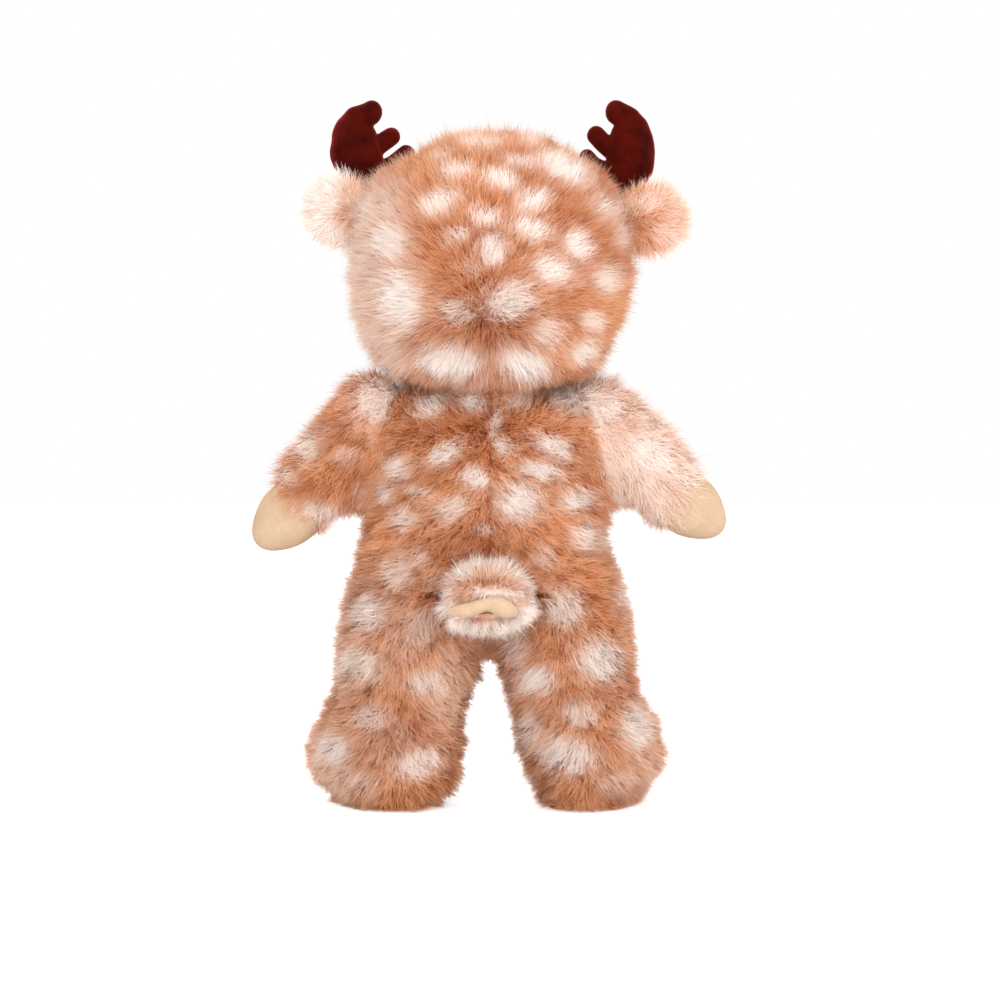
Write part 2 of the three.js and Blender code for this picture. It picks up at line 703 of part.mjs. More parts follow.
function addLeg(side) {
  const outer = legSkin(side, 0, furLift, outerPoints).add(hipRound(side, 0));
  const floor = soleThickness + fillingGap;
  const hipHollow = hipRound(side, -furThickness, innerPoints);
  const hollow = legSkin(side, furThickness, floor, innerPoints).add(hipHollow);
  const opening = solePlate(side, fillingGap, -furLift, floor + fillingGap);
  addPiece(`leg_${side}_fur`, outer.subtract(hollow).subtract(opening), materials.fur);
  const inset = furThickness + fillingGap;
  const filling = legSkin(side, inset, floor, innerPoints).add(hipRound(side, -inset, innerPoints));
  addPiece(`leg_${side}_filling`, filling, materials.filling);
  addPiece(`sole_${side}`, solePlate(side, 0, 0, soleThickness), materials.velour);
}

addHead();
addMuzzle();
addTorso();
addTail();
for (const side of Object.keys(sides)) {
  addEye(side);
  addEar(side);
  addAntler(side);
  addArm(side);
  addLeg(side);
}

export default doll;
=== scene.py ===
"""A soft deer doll with spotted long-pile fur, seen from behind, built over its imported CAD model."""
import math

import bmesh
import bpy
import numpy as np
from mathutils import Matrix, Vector
from mathutils.bvhtree import BVHTree


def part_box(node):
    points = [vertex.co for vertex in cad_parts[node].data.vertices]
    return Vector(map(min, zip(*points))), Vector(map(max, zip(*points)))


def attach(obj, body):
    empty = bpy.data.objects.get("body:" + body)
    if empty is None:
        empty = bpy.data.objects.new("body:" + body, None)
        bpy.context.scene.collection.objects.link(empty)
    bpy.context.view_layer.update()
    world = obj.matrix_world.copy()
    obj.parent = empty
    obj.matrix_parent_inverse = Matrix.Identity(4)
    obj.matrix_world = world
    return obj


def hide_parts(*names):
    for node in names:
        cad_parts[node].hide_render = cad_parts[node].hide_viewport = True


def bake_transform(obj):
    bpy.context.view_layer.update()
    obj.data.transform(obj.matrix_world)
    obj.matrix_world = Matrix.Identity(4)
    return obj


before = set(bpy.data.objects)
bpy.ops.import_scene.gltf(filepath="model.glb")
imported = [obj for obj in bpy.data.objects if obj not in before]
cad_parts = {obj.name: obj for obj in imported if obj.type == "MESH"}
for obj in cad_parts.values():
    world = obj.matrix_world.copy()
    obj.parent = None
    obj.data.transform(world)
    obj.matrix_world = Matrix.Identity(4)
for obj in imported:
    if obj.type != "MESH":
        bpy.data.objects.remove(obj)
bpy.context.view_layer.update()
bpy.ops.object.select_all(action="DESELECT")

# Studio
# A white sweep, soft lamps on every side and a long lens that looks at the doll's back from a little above.
# The white behind the doll comes from the camera rays alone, so it adds no light to the fur.
aim = Vector((-0.0069, 0.0, 0.178))
view_distance = 1.9
view_elevation = math.radians(2.5)
frame_width = 0.5775


def added(name, data):
    """A new object in the scene"""
    made = bpy.data.objects.new(name, data)
    bpy.context.scene.collection.objects.link(made)
    return made


lens = bpy.data.cameras.new("camera")
lens.sensor_width = 36
lens.lens = 36 * view_distance / frame_width
camera = added("camera", lens)
back = Vector((0, math.cos(view_elevation), math.sin(view_elevation)))
camera.location = aim + back * view_distance
camera.rotation_euler = (-back).to_track_quat("-Z", "Y").to_euler()
bpy.context.scene.camera = camera
bpy.context.scene.view_settings.view_transform = "Standard"


def fill_in(node, values):
    """Set some inputs of a node to values, or join them to the outputs of other nodes"""
    for label, value in values.items():
        if isinstance(value, bpy.types.NodeSocket):
            node.id_data.links.new(value, node.inputs[label])
        else:
            node.inputs[label].default_value = value


def new_node(tree, kind, values=None):
    node = tree.nodes.new("ShaderNode" + kind)
    fill_in(node, values or {})
    return node


def math_node(tree, operation, first, second):
    node = new_node(tree, "Math", {0: first, 1: second})
    node.operation = operation
    return node.outputs[0]


def seen_directly(tree):
    """1 for the rays that show the background: camera, glossy and transmission"""
    rays = new_node(tree, "LightPath").outputs
    either = math_node(tree, "MAXIMUM", rays["Is Camera Ray"], rays["Is Glossy Ray"])
    return math_node(tree, "MAXIMUM", either, rays["Is Transmission Ray"])


def emptied(owner):
    """The node tree of a world or a material, without the nodes it begins with"""
    owner.use_nodes = True
    owner.node_tree.nodes.clear()
    return owner.node_tree


world = bpy.data.worlds.new("studio")
bpy.context.scene.world = world
tree = emptied(world)
surround = new_node(tree, "Background", {"Strength": 1.1, "Color": (1, 0.985, 0.97, 1)})
white = new_node(tree, "Background", {"Color": (1, 1, 1, 1)})
either = new_node(tree, "MixShader", {0: seen_directly(tree), 1: surround.outputs[0], 2: white.outputs[0]})
new_node(tree, "OutputWorld", {"Surface": either.outputs[0]})


def softbox(name, place, size, power):
    lamp = bpy.data.lights.new(name, "AREA")
    lamp.size = size
    lamp.energy = power
    box = added(name, lamp)
    box.location = place
    box.rotation_euler = (aim - box.location).to_track_quat("-Z", "Y").to_euler()


softbox("key_lamp", (0.7, 1.8, 1.2), 1.1, 12)
softbox("low_lamp", (-0.3, 2.1, 0.1), 1.2, 28)
softbox("fill_lamp", (-1.5, 1.2, 0.8), 1.3, 10)
softbox("front_lamp", (0.5, -1.9, 1.2), 1.3, 20)
softbox("top_lamp", (0, 0, 1.9), 1.2, 5)

bpy.ops.mesh.primitive_plane_add(size=8, location=(0, 0, 0))
floor = bpy.context.active_object
floor.name = "floor"
paper = bpy.data.materials.new("paper")
tree = emptied(paper)
matt = new_node(tree, "BsdfDiffuse", {"Color": (0.8, 0.8, 0.8, 1)})
glow = new_node(tree, "Emission", {"Strength": math_node(tree, "MULTIPLY", seen_directly(tree), 0.6)})
both = new_node(tree, "AddShader", {0: matt.outputs[0], 1: glow.outputs[0]})
new_node(tree, "OutputMaterial", {"Surface": both.outputs[0]})
floor.data.materials.append(paper)

# Head
# A ball of knitted backing over wadding, cut from spotted long-pile fur and closed by a seam up its back.
# The pile is brushed out from a whorl low on the back of the head, and trimmed round the eyes and muzzle.
mm = 0.001
both_sides = (("left", 1), ("right", -1))
pixel = 0.5775 * mm
pile_sink = 9.5 * mm
pile_length = 13 * mm
# The picture's middle, and the column of the doll's middle and the row of the floor in it
picture_middle = 500
seam_x = 488
floor_row = 809


def only(piece):
    bpy.ops.object.select_all(action="DESELECT")
    piece.select_set(True)
    bpy.context.view_layer.objects.active = piece


def edit(piece, action, **options):
    """Run one of the mesh operators on all of a piece"""
    only(piece)
    bpy.ops.object.mode_set(mode="EDIT")
    bpy.ops.mesh.select_all(action="SELECT")
    action(**options)
    bpy.ops.object.mode_set(mode="OBJECT")


def surface_of(piece):
    """Points and normals of a mesh's vertices, and its triangles"""
    mesh = piece.data
    mesh.calc_loop_triangles()
    points = np.empty(len(mesh.vertices) * 3)
    normals = np.empty(len(mesh.vertices) * 3)
    corners = np.empty(len(mesh.loop_triangles) * 3, np.int32)
    mesh.vertices.foreach_get("co", points)
    mesh.vertices.foreach_get("normal", normals)
    mesh.loop_triangles.foreach_get("vertices", corners)
    return points.reshape(-1, 3), normals.reshape(-1, 3), corners.reshape(-1, 3)


def flat(values):
    return values.astype(np.float32).ravel()


def set_points(piece, points):
    piece.data.vertices.foreach_set("co", flat(points))
    piece.data.update()


def smooth_out(piece, repeat, weights=None):
    """Smooth a mesh, by a share of its own at each vertex where weights are given"""
    only(piece)
    modifier = piece.modifiers.new("smooth", "SMOOTH")
    modifier.iterations = repeat
    if weights is not None:
        where = piece.vertex_groups.new(name="where")
        for index, weight in enumerate(weights):
            where.add([index], weight, "REPLACE")
        modifier.vertex_group = "where"
    bpy.ops.object.modifier_apply(modifier="smooth")


def cut_form(form, place, outward):
    """Take away what lies beyond a plane, and close the cut with new faces"""
    everything = form.verts[:] + form.edges[:] + form.faces[:]
    cut = bmesh.ops.bisect_plane(form, geom=everything, plane_co=place, plane_no=outward, clear_outer=True)
    rim = [item for item in cut["geom_cut"] if isinstance(item, bmesh.types.BMEdge)]
    return bmesh.ops.edgenet_fill(form, edges=rim)["faces"]


def as_one_form(name, solids, voxel, ends=()):
    """The largest closed skin round some solids and the ends of their neighbours, which a plane cuts off"""
    form = bmesh.new()
    for solid in solids:
        form.from_mesh(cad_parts[solid].data)
    for solid, place, outward in ends:
        end = bmesh.new()
        end.from_mesh(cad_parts[solid].data)
        bmesh.ops.remove_doubles(end, verts=end.verts, dist=1e-6)
        cut_form(end, place, outward)
        trimmed = bpy.data.meshes.new(name + "_end")
        end.to_mesh(trimmed)
        end.free()
        form.from_mesh(trimmed)
        bpy.data.meshes.remove(trimmed)
    bmesh.ops.remove_doubles(form, verts=form.verts, dist=1e-6)
    mesh = bpy.data.meshes.new(name)
    form.to_mesh(mesh)
    form.free()
    piece = added(name, mesh)
    only(piece)
    mesh.remesh_voxel_size = voxel
    bpy.ops.object.voxel_remesh()
    edit(piece, bpy.ops.mesh.separate, type="LOOSE")
    parts = sorted(bpy.context.selected_objects, key=lambda part: -len(part.data.vertices))
    for part in parts[1:]:
        bpy.data.objects.remove(part)
    parts[0].name = name
    only(parts[0])
    bpy.ops.object.shade_smooth()
    return parts[0]


# Where the stuffing presses the skin out or lets it fall in, as it is seen from behind:
# column, row and reach in pixels, height in mm
fullness = [
    (333, 600, 45, 1.8), (333, 660, 40, 1.5), (308, 745, 40, 2.4), (490, 128, 70, -2.4),
    (400, 145, 30, -1.0), (525, 795, 32, -6.0), (660, 795, 30, -4.5), (325, 808, 25, -3.0),
    (455, 805, 25, -4.5), (675, 430, 30, 2.0), (655, 522, 25, 1.8), (612, 512, 16, -2.0),
    (636, 516, 14, 1.5), (330, 524, 16, 2.0), (303, 775, 25, 2.0), (632, 612, 30, 1.5),
    (288, 445, 25, 1.6), (350, 610, 30, 1.0), (668, 755, 35, 2.2), (515, 775, 35, -5.0),
    (640, 655, 35, -2.4), (613, 545, 25, -5.0), (620, 320, 30, -2.5), (612, 350, 20, -2.0),
    (425, 135, 30, -2.3), (408, 143, 20, -4.0), (574, 143, 20, -4.6), (635, 390, 30, -2.8),
    (275, 455, 30, 1.5), (362, 366, 18, 4.2),
]


def in_pixels(points):
    """The picture's column and row of each point"""
    return seam_x - points[:, 0] / pixel, floor_row - points[:, 2] / pixel


def fuller(points):
    """How much the stuffing adds to each point"""
    across, up = in_pixels(points)
    added = np.zeros(len(points))
    for px, py, reach, height in fullness:
        added += height * mm * np.exp(-((across - px) ** 2 + (up - py) ** 2) / reach**2)
    return added


def backing(name, solids, voxel=3 * mm, sink=pile_sink, ends=(), seam=None):
    """The stuffed cloth under the pile, let in by the height at which the pile lies, but not off its seam"""
    piece = as_one_form(name, solids, voxel, ends)
    smooth_out(piece, 6)
    for _ in range(3):
        points, normals, _ = surface_of(piece)
        if seam is not None:
            place, outward = seam
            near = ((points - place) @ outward < 5 * mm)[:, None]
            normals = normals - near * (normals @ outward)[:, None] * outward
        depth = (sink(points) if callable(sink) else sink) - fuller(points)
        set_points(piece, points - normals * depth[:, None] / 3)
        smooth_out(piece, 2)
    return piece


def cut_off(piece, place, outward):
    """Cut a piece at a plane, with the new faces turned outward"""
    form = bmesh.new()
    form.from_mesh(piece.data)
    for face in cut_form(form, place, outward):
        face.normal_update()
        if face.normal.dot(outward) < 0:
            face.normal_flip()
    form.to_mesh(piece.data)
    form.free()


def slopes(points, size, seed):
    """Slope and height of a random smooth field whose bumps are about one size across"""
    rng = np.random.default_rng(seed)
    slope = np.zeros_like(points)
    height = np.zeros(len(points))
    for _ in range(10):
        heading = rng.normal(size=3)
        heading /= np.linalg.norm(heading)
        phase = points @ heading * (2 * math.pi / size * rng.uniform(0.7, 1.4)) + rng.uniform(0, 2 * math.pi)
        slope -= heading * np.sin(phase)[:, None]
        height += np.cos(phase)
    return slope / math.sqrt(10), height / math.sqrt(10)


def unit(vectors):
    return vectors / np.maximum(np.linalg.norm(vectors, axis=-1, keepdims=True), 1e-9)


def ease(low, high, values):
    share = np.clip((values - low) / (high - low), 0, 1)
    return share * share * (3 - 2 * share)


def seen_at(px, py, y):
    """Where a point at depth y is, that the camera sees at a place in the picture, given in pixels"""
    across, up = (px - picture_middle) * pixel, (picture_middle - py) * pixel
    forth = math.cos(view_elevation) * view_distance + math.sin(view_elevation) * up
    share = (camera.location.y - y) / forth
    x = aim.x - share * across
    z = camera.location.z + share * (math.cos(view_elevation) * up - math.sin(view_elevation) * view_distance)
    return x, z


def as_seen(points):
    """Points with the camera's perspective taken into x and z, so that both match the picture's pixels"""
    offset = points - np.array(camera.location)
    upright = np.array([0, -math.sin(view_elevation), math.cos(view_elevation)])
    near = view_distance / -(offset @ np.array(back))
    across = (picture_middle - seam_x) * pixel - offset[:, 0] * near
    height = offset @ upright * near + (floor_row - picture_middle) * pixel
    return np.stack([-across, points[:, 1], height], axis=1)


def placed_marks(marks, surface):
    """Marks as they are seen from behind, set on the back of the pile: middle, half sizes, tilt, strength"""
    points, normals, _ = surface
    rear = as_seen((points + normals * 9 * mm)[normals[:, 1] > 0])
    made = []
    for px, py, wide, tall, tilt, strength in marks:
        x, z = (seam_x - px) * pixel, (floor_row - py) * pixel
        near = rear[np.argsort((rear[:, 0] - x) ** 2 + (rear[:, 2] - z) ** 2)[:8]]
        half_sizes = (wide * pixel, tall * pixel, 22 * mm)
        made.append(((x, near[:, 1].mean(), z), half_sizes, math.radians(tilt), strength))
    return made


def scattered_marks(surface, spacing, seed, lowest):
    """Marks at random where nothing is seen from behind, no closer to each other than the spacing"""
    rng = np.random.default_rng(seed)
    size = 8 * mm
    points, normals, _ = surface
    places = points[(normals[:, 1] < 0.1) & (points[:, 1] < 0.02) & (points[:, 2] > lowest)]
    chosen = []
    for place in as_seen(places[rng.permutation(len(places))[:1500]]):
        if all(np.linalg.norm(place - other) > spacing for other in chosen):
            chosen.append(place)
    made = []
    for place in chosen:
        wide, tall = size * rng.uniform(0.8, 1.5), size * rng.uniform(0.6, 1.0)
        made.append((place, (wide, tall, 0.8 * (wide + tall)), rng.uniform(-0.6, 0.6), rng.uniform(0.75, 1)))
    return made


def mark_mask(points, marks, seed):
    """How far each point is inside a mark, with the broken edge that long pile gives it"""
    rng = np.random.default_rng(seed)
    rough = slopes(points, 0.009, seed)[1] + 0.7 * slopes(points, 0.004, seed + 1)[1]
    points = as_seen(points)
    mask = np.zeros(len(points))
    for middle, (wide, tall, deep), tilt, strength in marks:
        offset = points - np.array(middle)
        across = -offset[:, 0] * math.cos(tilt) - offset[:, 2] * math.sin(tilt)
        upward = -offset[:, 0] * math.sin(tilt) + offset[:, 2] * math.cos(tilt)
        reach = np.sqrt((across / wide) ** 2 + (upward / tall) ** 2 + (offset[:, 1] / deep) ** 2)
        reach += 0.14 * rough + rng.normal(0, 0.13, len(points))
        halo = 0.36 * ease(2.2, 1.2, reach)
        mask = np.maximum(mask, strength * np.maximum(ease(1.35, 0.85, reach), halo))
    return mask


def roots_on(surface, density, thick, seed):
    """Places and normals of the strands' roots, spread over a surface by area"""
    rng = np.random.default_rng(seed)
    points, normals, triangles = surface
    a, b, c = (points[triangles[:, k]] for k in range(3))
    area = np.linalg.norm(np.cross(b - a, c - a), axis=1) / 2
    share = thick(points[triangles].mean(axis=1), unit(normals[triangles].mean(axis=1)))
    wanted = area * density * share
    count = np.floor(wanted + rng.random(len(wanted))).astype(int)
    picked = np.repeat(np.arange(len(triangles)), count)
    u, v = rng.random(len(picked)), rng.random(len(picked))
    folded = u + v > 1
    u[folded], v[folded] = 1 - u[folded], 1 - v[folded]
    weights = np.stack([1 - u - v, u, v], axis=1)[:, :, None]
    corners = triangles[picked]
    return (points[corners] * weights).sum(axis=1), unit((normals[corners] * weights).sum(axis=1))


def set_attributes(mesh, **values):
    """Numbers at each vertex, which the coat's colour reads"""
    for label, value in values.items():
        mesh.attributes.new(label, "FLOAT", "POINT").data.foreach_set("value", flat(value))


strands_per_piece = 66000
# A strand has two points at its root, two at its bend and one at its tip, and two faces
strand_along = [0, 0, 0.5, 0.5, 1.0]
strand_corners = np.array([0, 1, 2, 3, 3, 2, 4])
strand_starts = np.array([0, 4])


def strand_mesh(name, ribbons, shown):
    """Strands as one mesh, each with its own cell in the chart, shaded by the normals that are shown"""
    rows = len(ribbons)
    row = np.arange(rows)[:, None]
    mesh = bpy.data.meshes.new(name)
    mesh.vertices.add(rows * 5)
    mesh.vertices.foreach_set("co", flat(ribbons))
    corners = (row * 5 + strand_corners).ravel()
    mesh.loops.add(len(corners))
    mesh.loops.foreach_set("vertex_index", corners.astype(np.int32))
    mesh.polygons.add(rows * 2)
    starts = (row * 7 + strand_starts).ravel()
    mesh.polygons.foreach_set("loop_start", starts.astype(np.int32))
    mesh.update(calc_edges=True)
    cells = math.ceil(math.sqrt(rows))
    corner = np.stack([row % cells, row // cells], axis=2)
    left, right = (0.05, 0.5), (0.95, 0.5)
    spot = np.array([(0.05, 0.05), (0.95, 0.05), right, left, left, right, (0.5, 0.95)])
    chart = mesh.uv_layers.new(name="OFBake")
    chart.data.foreach_set("uv", flat((corner + spot) / cells))
    soft_normals = mesh.attributes.new("custom_normal", "FLOAT_VECTOR", "POINT")
    soft_normals.data.foreach_set("vector", flat(np.repeat(shown, 5, axis=0)))
    return mesh


def hold(piece, body):
    """Let a piece ride on one body; given two, it stays in place with its transform applied"""
    if isinstance(body, str):
        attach(piece, body)
    else:
        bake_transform(piece)


def stands_for(piece, fill, *nodes):
    """Hide the solids that a padded piece takes the place of"""
    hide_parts(*nodes)


def grow_pile(name, piece, body, style, colours, seed, surface=None):
    """The pile on a backing, as strands: narrow ribbons with one bend that run to a point"""
    rng = np.random.default_rng(seed)
    surface = surface or surface_of(piece)
    roots, normals = roots_on(surface, style["density"] / mm**2, style["thick"], seed)
    flow = style["comb"](roots, normals)
    pull = np.minimum(1, np.linalg.norm(flow, axis=1))
    flow = unit(flow) + style["tousle"] * slopes(roots, 0.03, 1)[0] + rng.normal(0, 0.45, roots.shape)
    flow = unit(flow - normals * (flow * normals).sum(axis=1)[:, None])
    stray = rng.random(len(roots)) < 0.05
    length = style["length"](roots, normals) * rng.uniform(0.72, 1.12, len(roots)) * np.where(stray, 1.2, 1)
    lift = math.radians(style["lean"][0]) * pull + rng.normal(0, 0.14, len(roots))
    fall = math.radians(style["lean"][1]) * pull + rng.normal(0, 0.26 + 0.3 * (1 - pull), len(roots))
    wide_slope, wide_height = slopes(roots, 0.011, 2)
    fine_slope, fine_height = slopes(roots, 0.0045, 3)
    lock_slope, lock_height = slopes(roots, 0.0023, 4)
    fall = fall - 0.16 * wide_height - 0.12 * fine_height - np.where(stray, 0.25, 0)
    length = length * (1 + 0.1 * fine_height + 0.06 * lock_height)
    first = normals * np.cos(lift)[:, None] + flow * np.sin(lift)[:, None]
    last = normals * np.cos(fall)[:, None] + flow * np.sin(fall)[:, None]
    reach = (length / pile_length)[:, None]
    gather = (wide_slope * 1.7 + fine_slope * 1.3 + lock_slope * 0.7) * mm * style["locks"] * reach
    middle = roots + first * (length * 0.5)[:, None] + gather * 0.35
    tips = middle + last * (length * 0.55)[:, None] + gather
    for places in (middle, tips):
        places[:, 2] = np.maximum(places[:, 2], 0.4 * mm)
    roll = rng.normal(0, 0.5, len(roots))[:, None]
    level = unit(np.cross(last, normals))
    side = level * np.cos(roll) + unit(np.cross(level, last)) * np.sin(roll)
    face = unit(np.cross(side, last))
    side = side * np.sign((face * normals).sum(axis=1))[:, None]
    shown = unit(normals + 0.35 * unit(np.cross(side, last)) + rng.normal(0, 0.15, roots.shape))
    half = side * (style["width"] * rng.uniform(0.7, 1.3, len(roots)))[:, None]
    ribbons = np.stack([roots - half, roots + half, middle + half * 0.85, middle - half * 0.85, tips], axis=1)
    order = np.lexsort((np.arctan2(roots[:, 0], roots[:, 1]), np.round(roots[:, 2] / 0.004)))
    turn = np.arctan2(roots[:, 0] - roots[:, 0].mean(), roots[:, 1] - roots[:, 1].mean())
    turn = np.argsort(turn, kind="stable")
    blur = rng.normal(0, 0.8 * mm, roots.shape)
    tone, pattern = colours(tips + (middle - tips) * 0.3 + blur, normals)
    # Each strand's chance: a random lighter or darker tone, plus painted shade on the strands that lie in the
    # hollows between locks
    chance = 0.26 * fine_height + 0.17 * lock_height + rng.normal(0, 0.12, len(roots))
    chance = np.clip(0.58 + style["uneven_tone_and_shade"] * chance, 0, 1)
    pieces = max(1, math.ceil(len(roots) / strands_per_piece))
    for number, share in enumerate(np.array_split(turn, pieces)):
        inside = np.zeros(len(roots), bool)
        inside[share] = True
        chosen = order[inside[order]]
        mesh = strand_mesh(f"{name}_{number + 1}", ribbons[chosen], shown[chosen])
        set_attributes(mesh, along=np.tile(strand_along, len(chosen)))
        dyed = [np.repeat(values[chosen], 5) for values in (tone, pattern, chance)]
        set_attributes(mesh, tone=dyed[0], pattern=dyed[1], chance=dyed[2])
        strands = added(mesh.name, mesh)
        mesh.materials.append(spotted_fur)
        hold(strands, body)
    points, normals, _ = surface_of(piece)
    tone, pattern = colours(points + normals * 8 * mm, normals)
    # The backing takes the colour from low on a strand: the roots' darker dye and the painted shade of the
    # pile over it
    low_down, plain = np.full(len(points), 0.12), np.full(len(points), 0.5)
    set_attributes(piece.data, along=low_down, tone=tone, pattern=pattern, chance=plain)
    piece.data.materials.clear()
    piece.data.materials.append(spotted_fur)
    hold(piece, body)


def group(name, inputs, outputs):
    """An empty group of nodes with its sockets, and the nodes that stand for them inside it"""
    tree = bpy.data.node_groups.new(name, "ShaderNodeTree")
    for direction, sockets in (("INPUT", inputs), ("OUTPUT", outputs)):
        for label, kind in sockets.items():
            tree.interface.new_socket(name=label, in_out=direction, socket_type="NodeSocket" + kind)
    return tree, tree.nodes.new("NodeGroupInput"), tree.nodes.new("NodeGroupOutput")


def mix(tree, factor, first, second, blend="MIX"):
    node = new_node(tree, "Mix")
    node.data_type = "RGBA"
    node.blend_type = blend
    fill_in(node, {0: factor, 6: first, 7: second})
    return node.outputs[2]


def read(tree, name):
    node = new_node(tree, "Attribute")
    node.attribute_name = name
    return node.outputs["Fac"]


def ramp(tree, value, stops):
    node = new_node(tree, "ValToRGB", {0: value})
    elements = node.color_ramp.elements
    while len(elements) < len(stops):
        elements.new(0.5)
    for element, (place, grey) in zip(elements, stops):
        element.position = place
        element.color = (*grey, 1) if isinstance(grey, tuple) else (grey, grey, grey, 1)
    return node.outputs[0]


def new_material(name, values):
    """A material with some values of its shader, its node tree and the shader"""
    material = bpy.data.materials.new(name)
    material.use_nodes = True
    shader = material.node_tree.nodes["Principled BSDF"]
    fill_in(shader, values)
    return material, material.node_tree, shader


def use_group(tree, members, values):
    node = new_node(tree, "Group")
    node.node_tree = members
    fill_in(node, values)
    return node.outputs


# The coat's colour: brown to tan by tone, cream in the marks. Towards the roots it is darker and redder:
# partly the darker dye at the base of the hair, partly painted shade and painted warm bounce light down among
# the roots
coat_dyes = dict.fromkeys(("Dark", "Tan", "Cream", "Pale"), "Color")
coat, given, result = group("coat", coat_dyes, {"Color": "Color"})
brown = mix(coat, read(coat, "tone"), given.outputs["Dark"], given.outputs["Tan"])
dyed = mix(coat, read(coat, "pattern"), brown, given.outputs["Cream"])
# Painted shade: these ramps darken each strand towards its root, where the pile's own shadow falls, on top of
# the roots' darker dye
brown_root_dye_and_shade = ramp(coat, read(coat, "along"), [(0, (0.6, 0.3, 0.13)), (0.5, (0.93, 0.76, 0.61)), (1, 1.0)])
cream_root_dye_and_shade = ramp(coat, read(coat, "along"), [(0, (0.98, 0.8, 0.68)), (0.5, (1.0, 0.95, 0.91)), (1, 1.0)])
depth = mix(coat, read(coat, "pattern"), brown_root_dye_and_shade, cream_root_dye_and_shade)
tips = ramp(coat, read(coat, "along"), [(0.5, 0.0), (1, 0.4)])
shaded = mix(coat, 1.0, mix(coat, tips, dyed, given.outputs["Pale"]), depth, "MULTIPLY")
# Random tone from strand to strand, and painted shade on the strands in the hollows between locks
uneven_tone_and_shade = ramp(coat, read(coat, "chance"), [(0, (0.7, 0.46, 0.32)), (0.5, (0.95, 0.89, 0.84)), (1, 1.0)])
calmer = mix(coat, ramp(coat, read(coat, "pattern"), [(0, 0.0), (0.5, 0.6), (1, 0.95)]), uneven_tone_and_shade, (1, 1, 1, 1))
fill_in(result, {"Color": mix(coat, 1.0, shaded, calmer, "MULTIPLY")})

spotted_fur, tree, shader = new_material("spotted_fur", {"Roughness": 0.62, "Specular IOR Level": 0.05})
dyes = {"Dark": (0.62, 0.21, 0.07, 1), "Tan": (0.96, 0.52, 0.27, 1)}
dyes.update({"Cream": (1.0, 0.94, 0.92, 1), "Pale": (1.0, 0.86, 0.73, 1)})
colour = use_group(tree, coat, dyes)["Color"]
fill_in(shader, {"Base Color": colour})
through = new_node(tree, "BsdfTranslucent", {"Color": colour})
blend = new_node(tree, "MixShader", {0: 0.25, 1: shader.outputs[0], 2: through.outputs[0]})
fill_in(tree.nodes["Material Output"], {"Surface": blend.outputs[0]})

head_middle = np.array([-1.8, 0, 316]) * mm
whorl = np.array([2, 66, 284]) * mm
muzzle_middle = head_middle + np.array([0, -57, -22]) * mm
eye_places = [head_middle + np.array([side * 31, -66, 2]) * mm for side in (1, -1)]

# The cream marks: their middles and half sizes in pixels, tilt in degrees and strength
head_marks = [
    (481, 138, 19, 5, 0, 0.8), (439, 152, 10, 4, -20, 0.6), (457, 165, 15, 6, -5, 0.9),
    (500, 174, 15, 8, 15, 1), (522, 156, 15, 4, 5, 0.9), (531, 137, 11, 4, 10, 0.8),
    (566, 164, 25, 12, 25, 1), (437, 198, 19, 9, -25, 1), (485, 212, 13, 8, 5, 0.95),
    (534, 196, 15, 9, 0, 1), (534, 225, 19, 10, 15, 1), (604, 206, 17, 11, 35, 1),
    (456, 232, 12, 6, -20, 0.8), (493, 246, 12, 13, 30, 1), (582, 244, 11, 15, -35, 1),
    (556, 268, 19, 12, 35, 1), (471, 266, 10, 6, 0, 0.5), (612, 278, 13, 12, 0, 0.85),
    (512, 300, 25, 17, -20, 1), (452, 311, 18, 12, 10, 0.75), (596, 323, 10, 10, 0, 0.8),
    (551, 335, 14, 15, 20, 0.7), (527, 371, 26, 17, 20, 1), (446, 368, 32, 17, 8, 1),
    (589, 355, 14, 12, -20, 0.9), (394, 300, 22, 30, 0, 1), (384, 239, 20, 18, 0, 0.95),
    (626, 232, 8, 14, 0, 0.6),
]


def head_comb(points, normals):
    return (points - whorl) / (28 * mm)


def trimmed(points):
    """How much of the pile's length is left round the eyes and the muzzle"""
    eye = np.min([np.linalg.norm(points - place, axis=1) for place in eye_places], axis=0)
    muzzle = np.linalg.norm((points - muzzle_middle) / np.array([1.15, 1.1, 0.85]), axis=1)
    return np.minimum(0.3 + 0.7 * ease(9 * mm, 24 * mm, eye), 0.35 + 0.65 * ease(26 * mm, 42 * mm, muzzle))


def head_length(points, normals):
    return pile_length * trimmed(points)


def head_sink(points):
    return pile_sink * (1.15 * trimmed(points) - 0.15) - 5 * mm * ease(0.268, 0.25, points[:, 2])


neck_end = ("neck_filling", Vector((0, 0, 0.25)), Vector((0, 0, -1)))
ear_ends = [
    (f"ear_{side}_fur", Vector((x * mm, 0, 0)), Vector((x, 0, 0)).normalized())
    for side, x in (("left", 79), ("right", -86))
]
head = backing("head", ["head_fur", "head_filling"], sink=head_sink, ends=[neck_end, *ear_ends])
head_surface = surface_of(head)
head_spots = placed_marks(head_marks, head_surface)
head_spots += scattered_marks(head_surface, 27 * mm, 3, lowest=0.32)


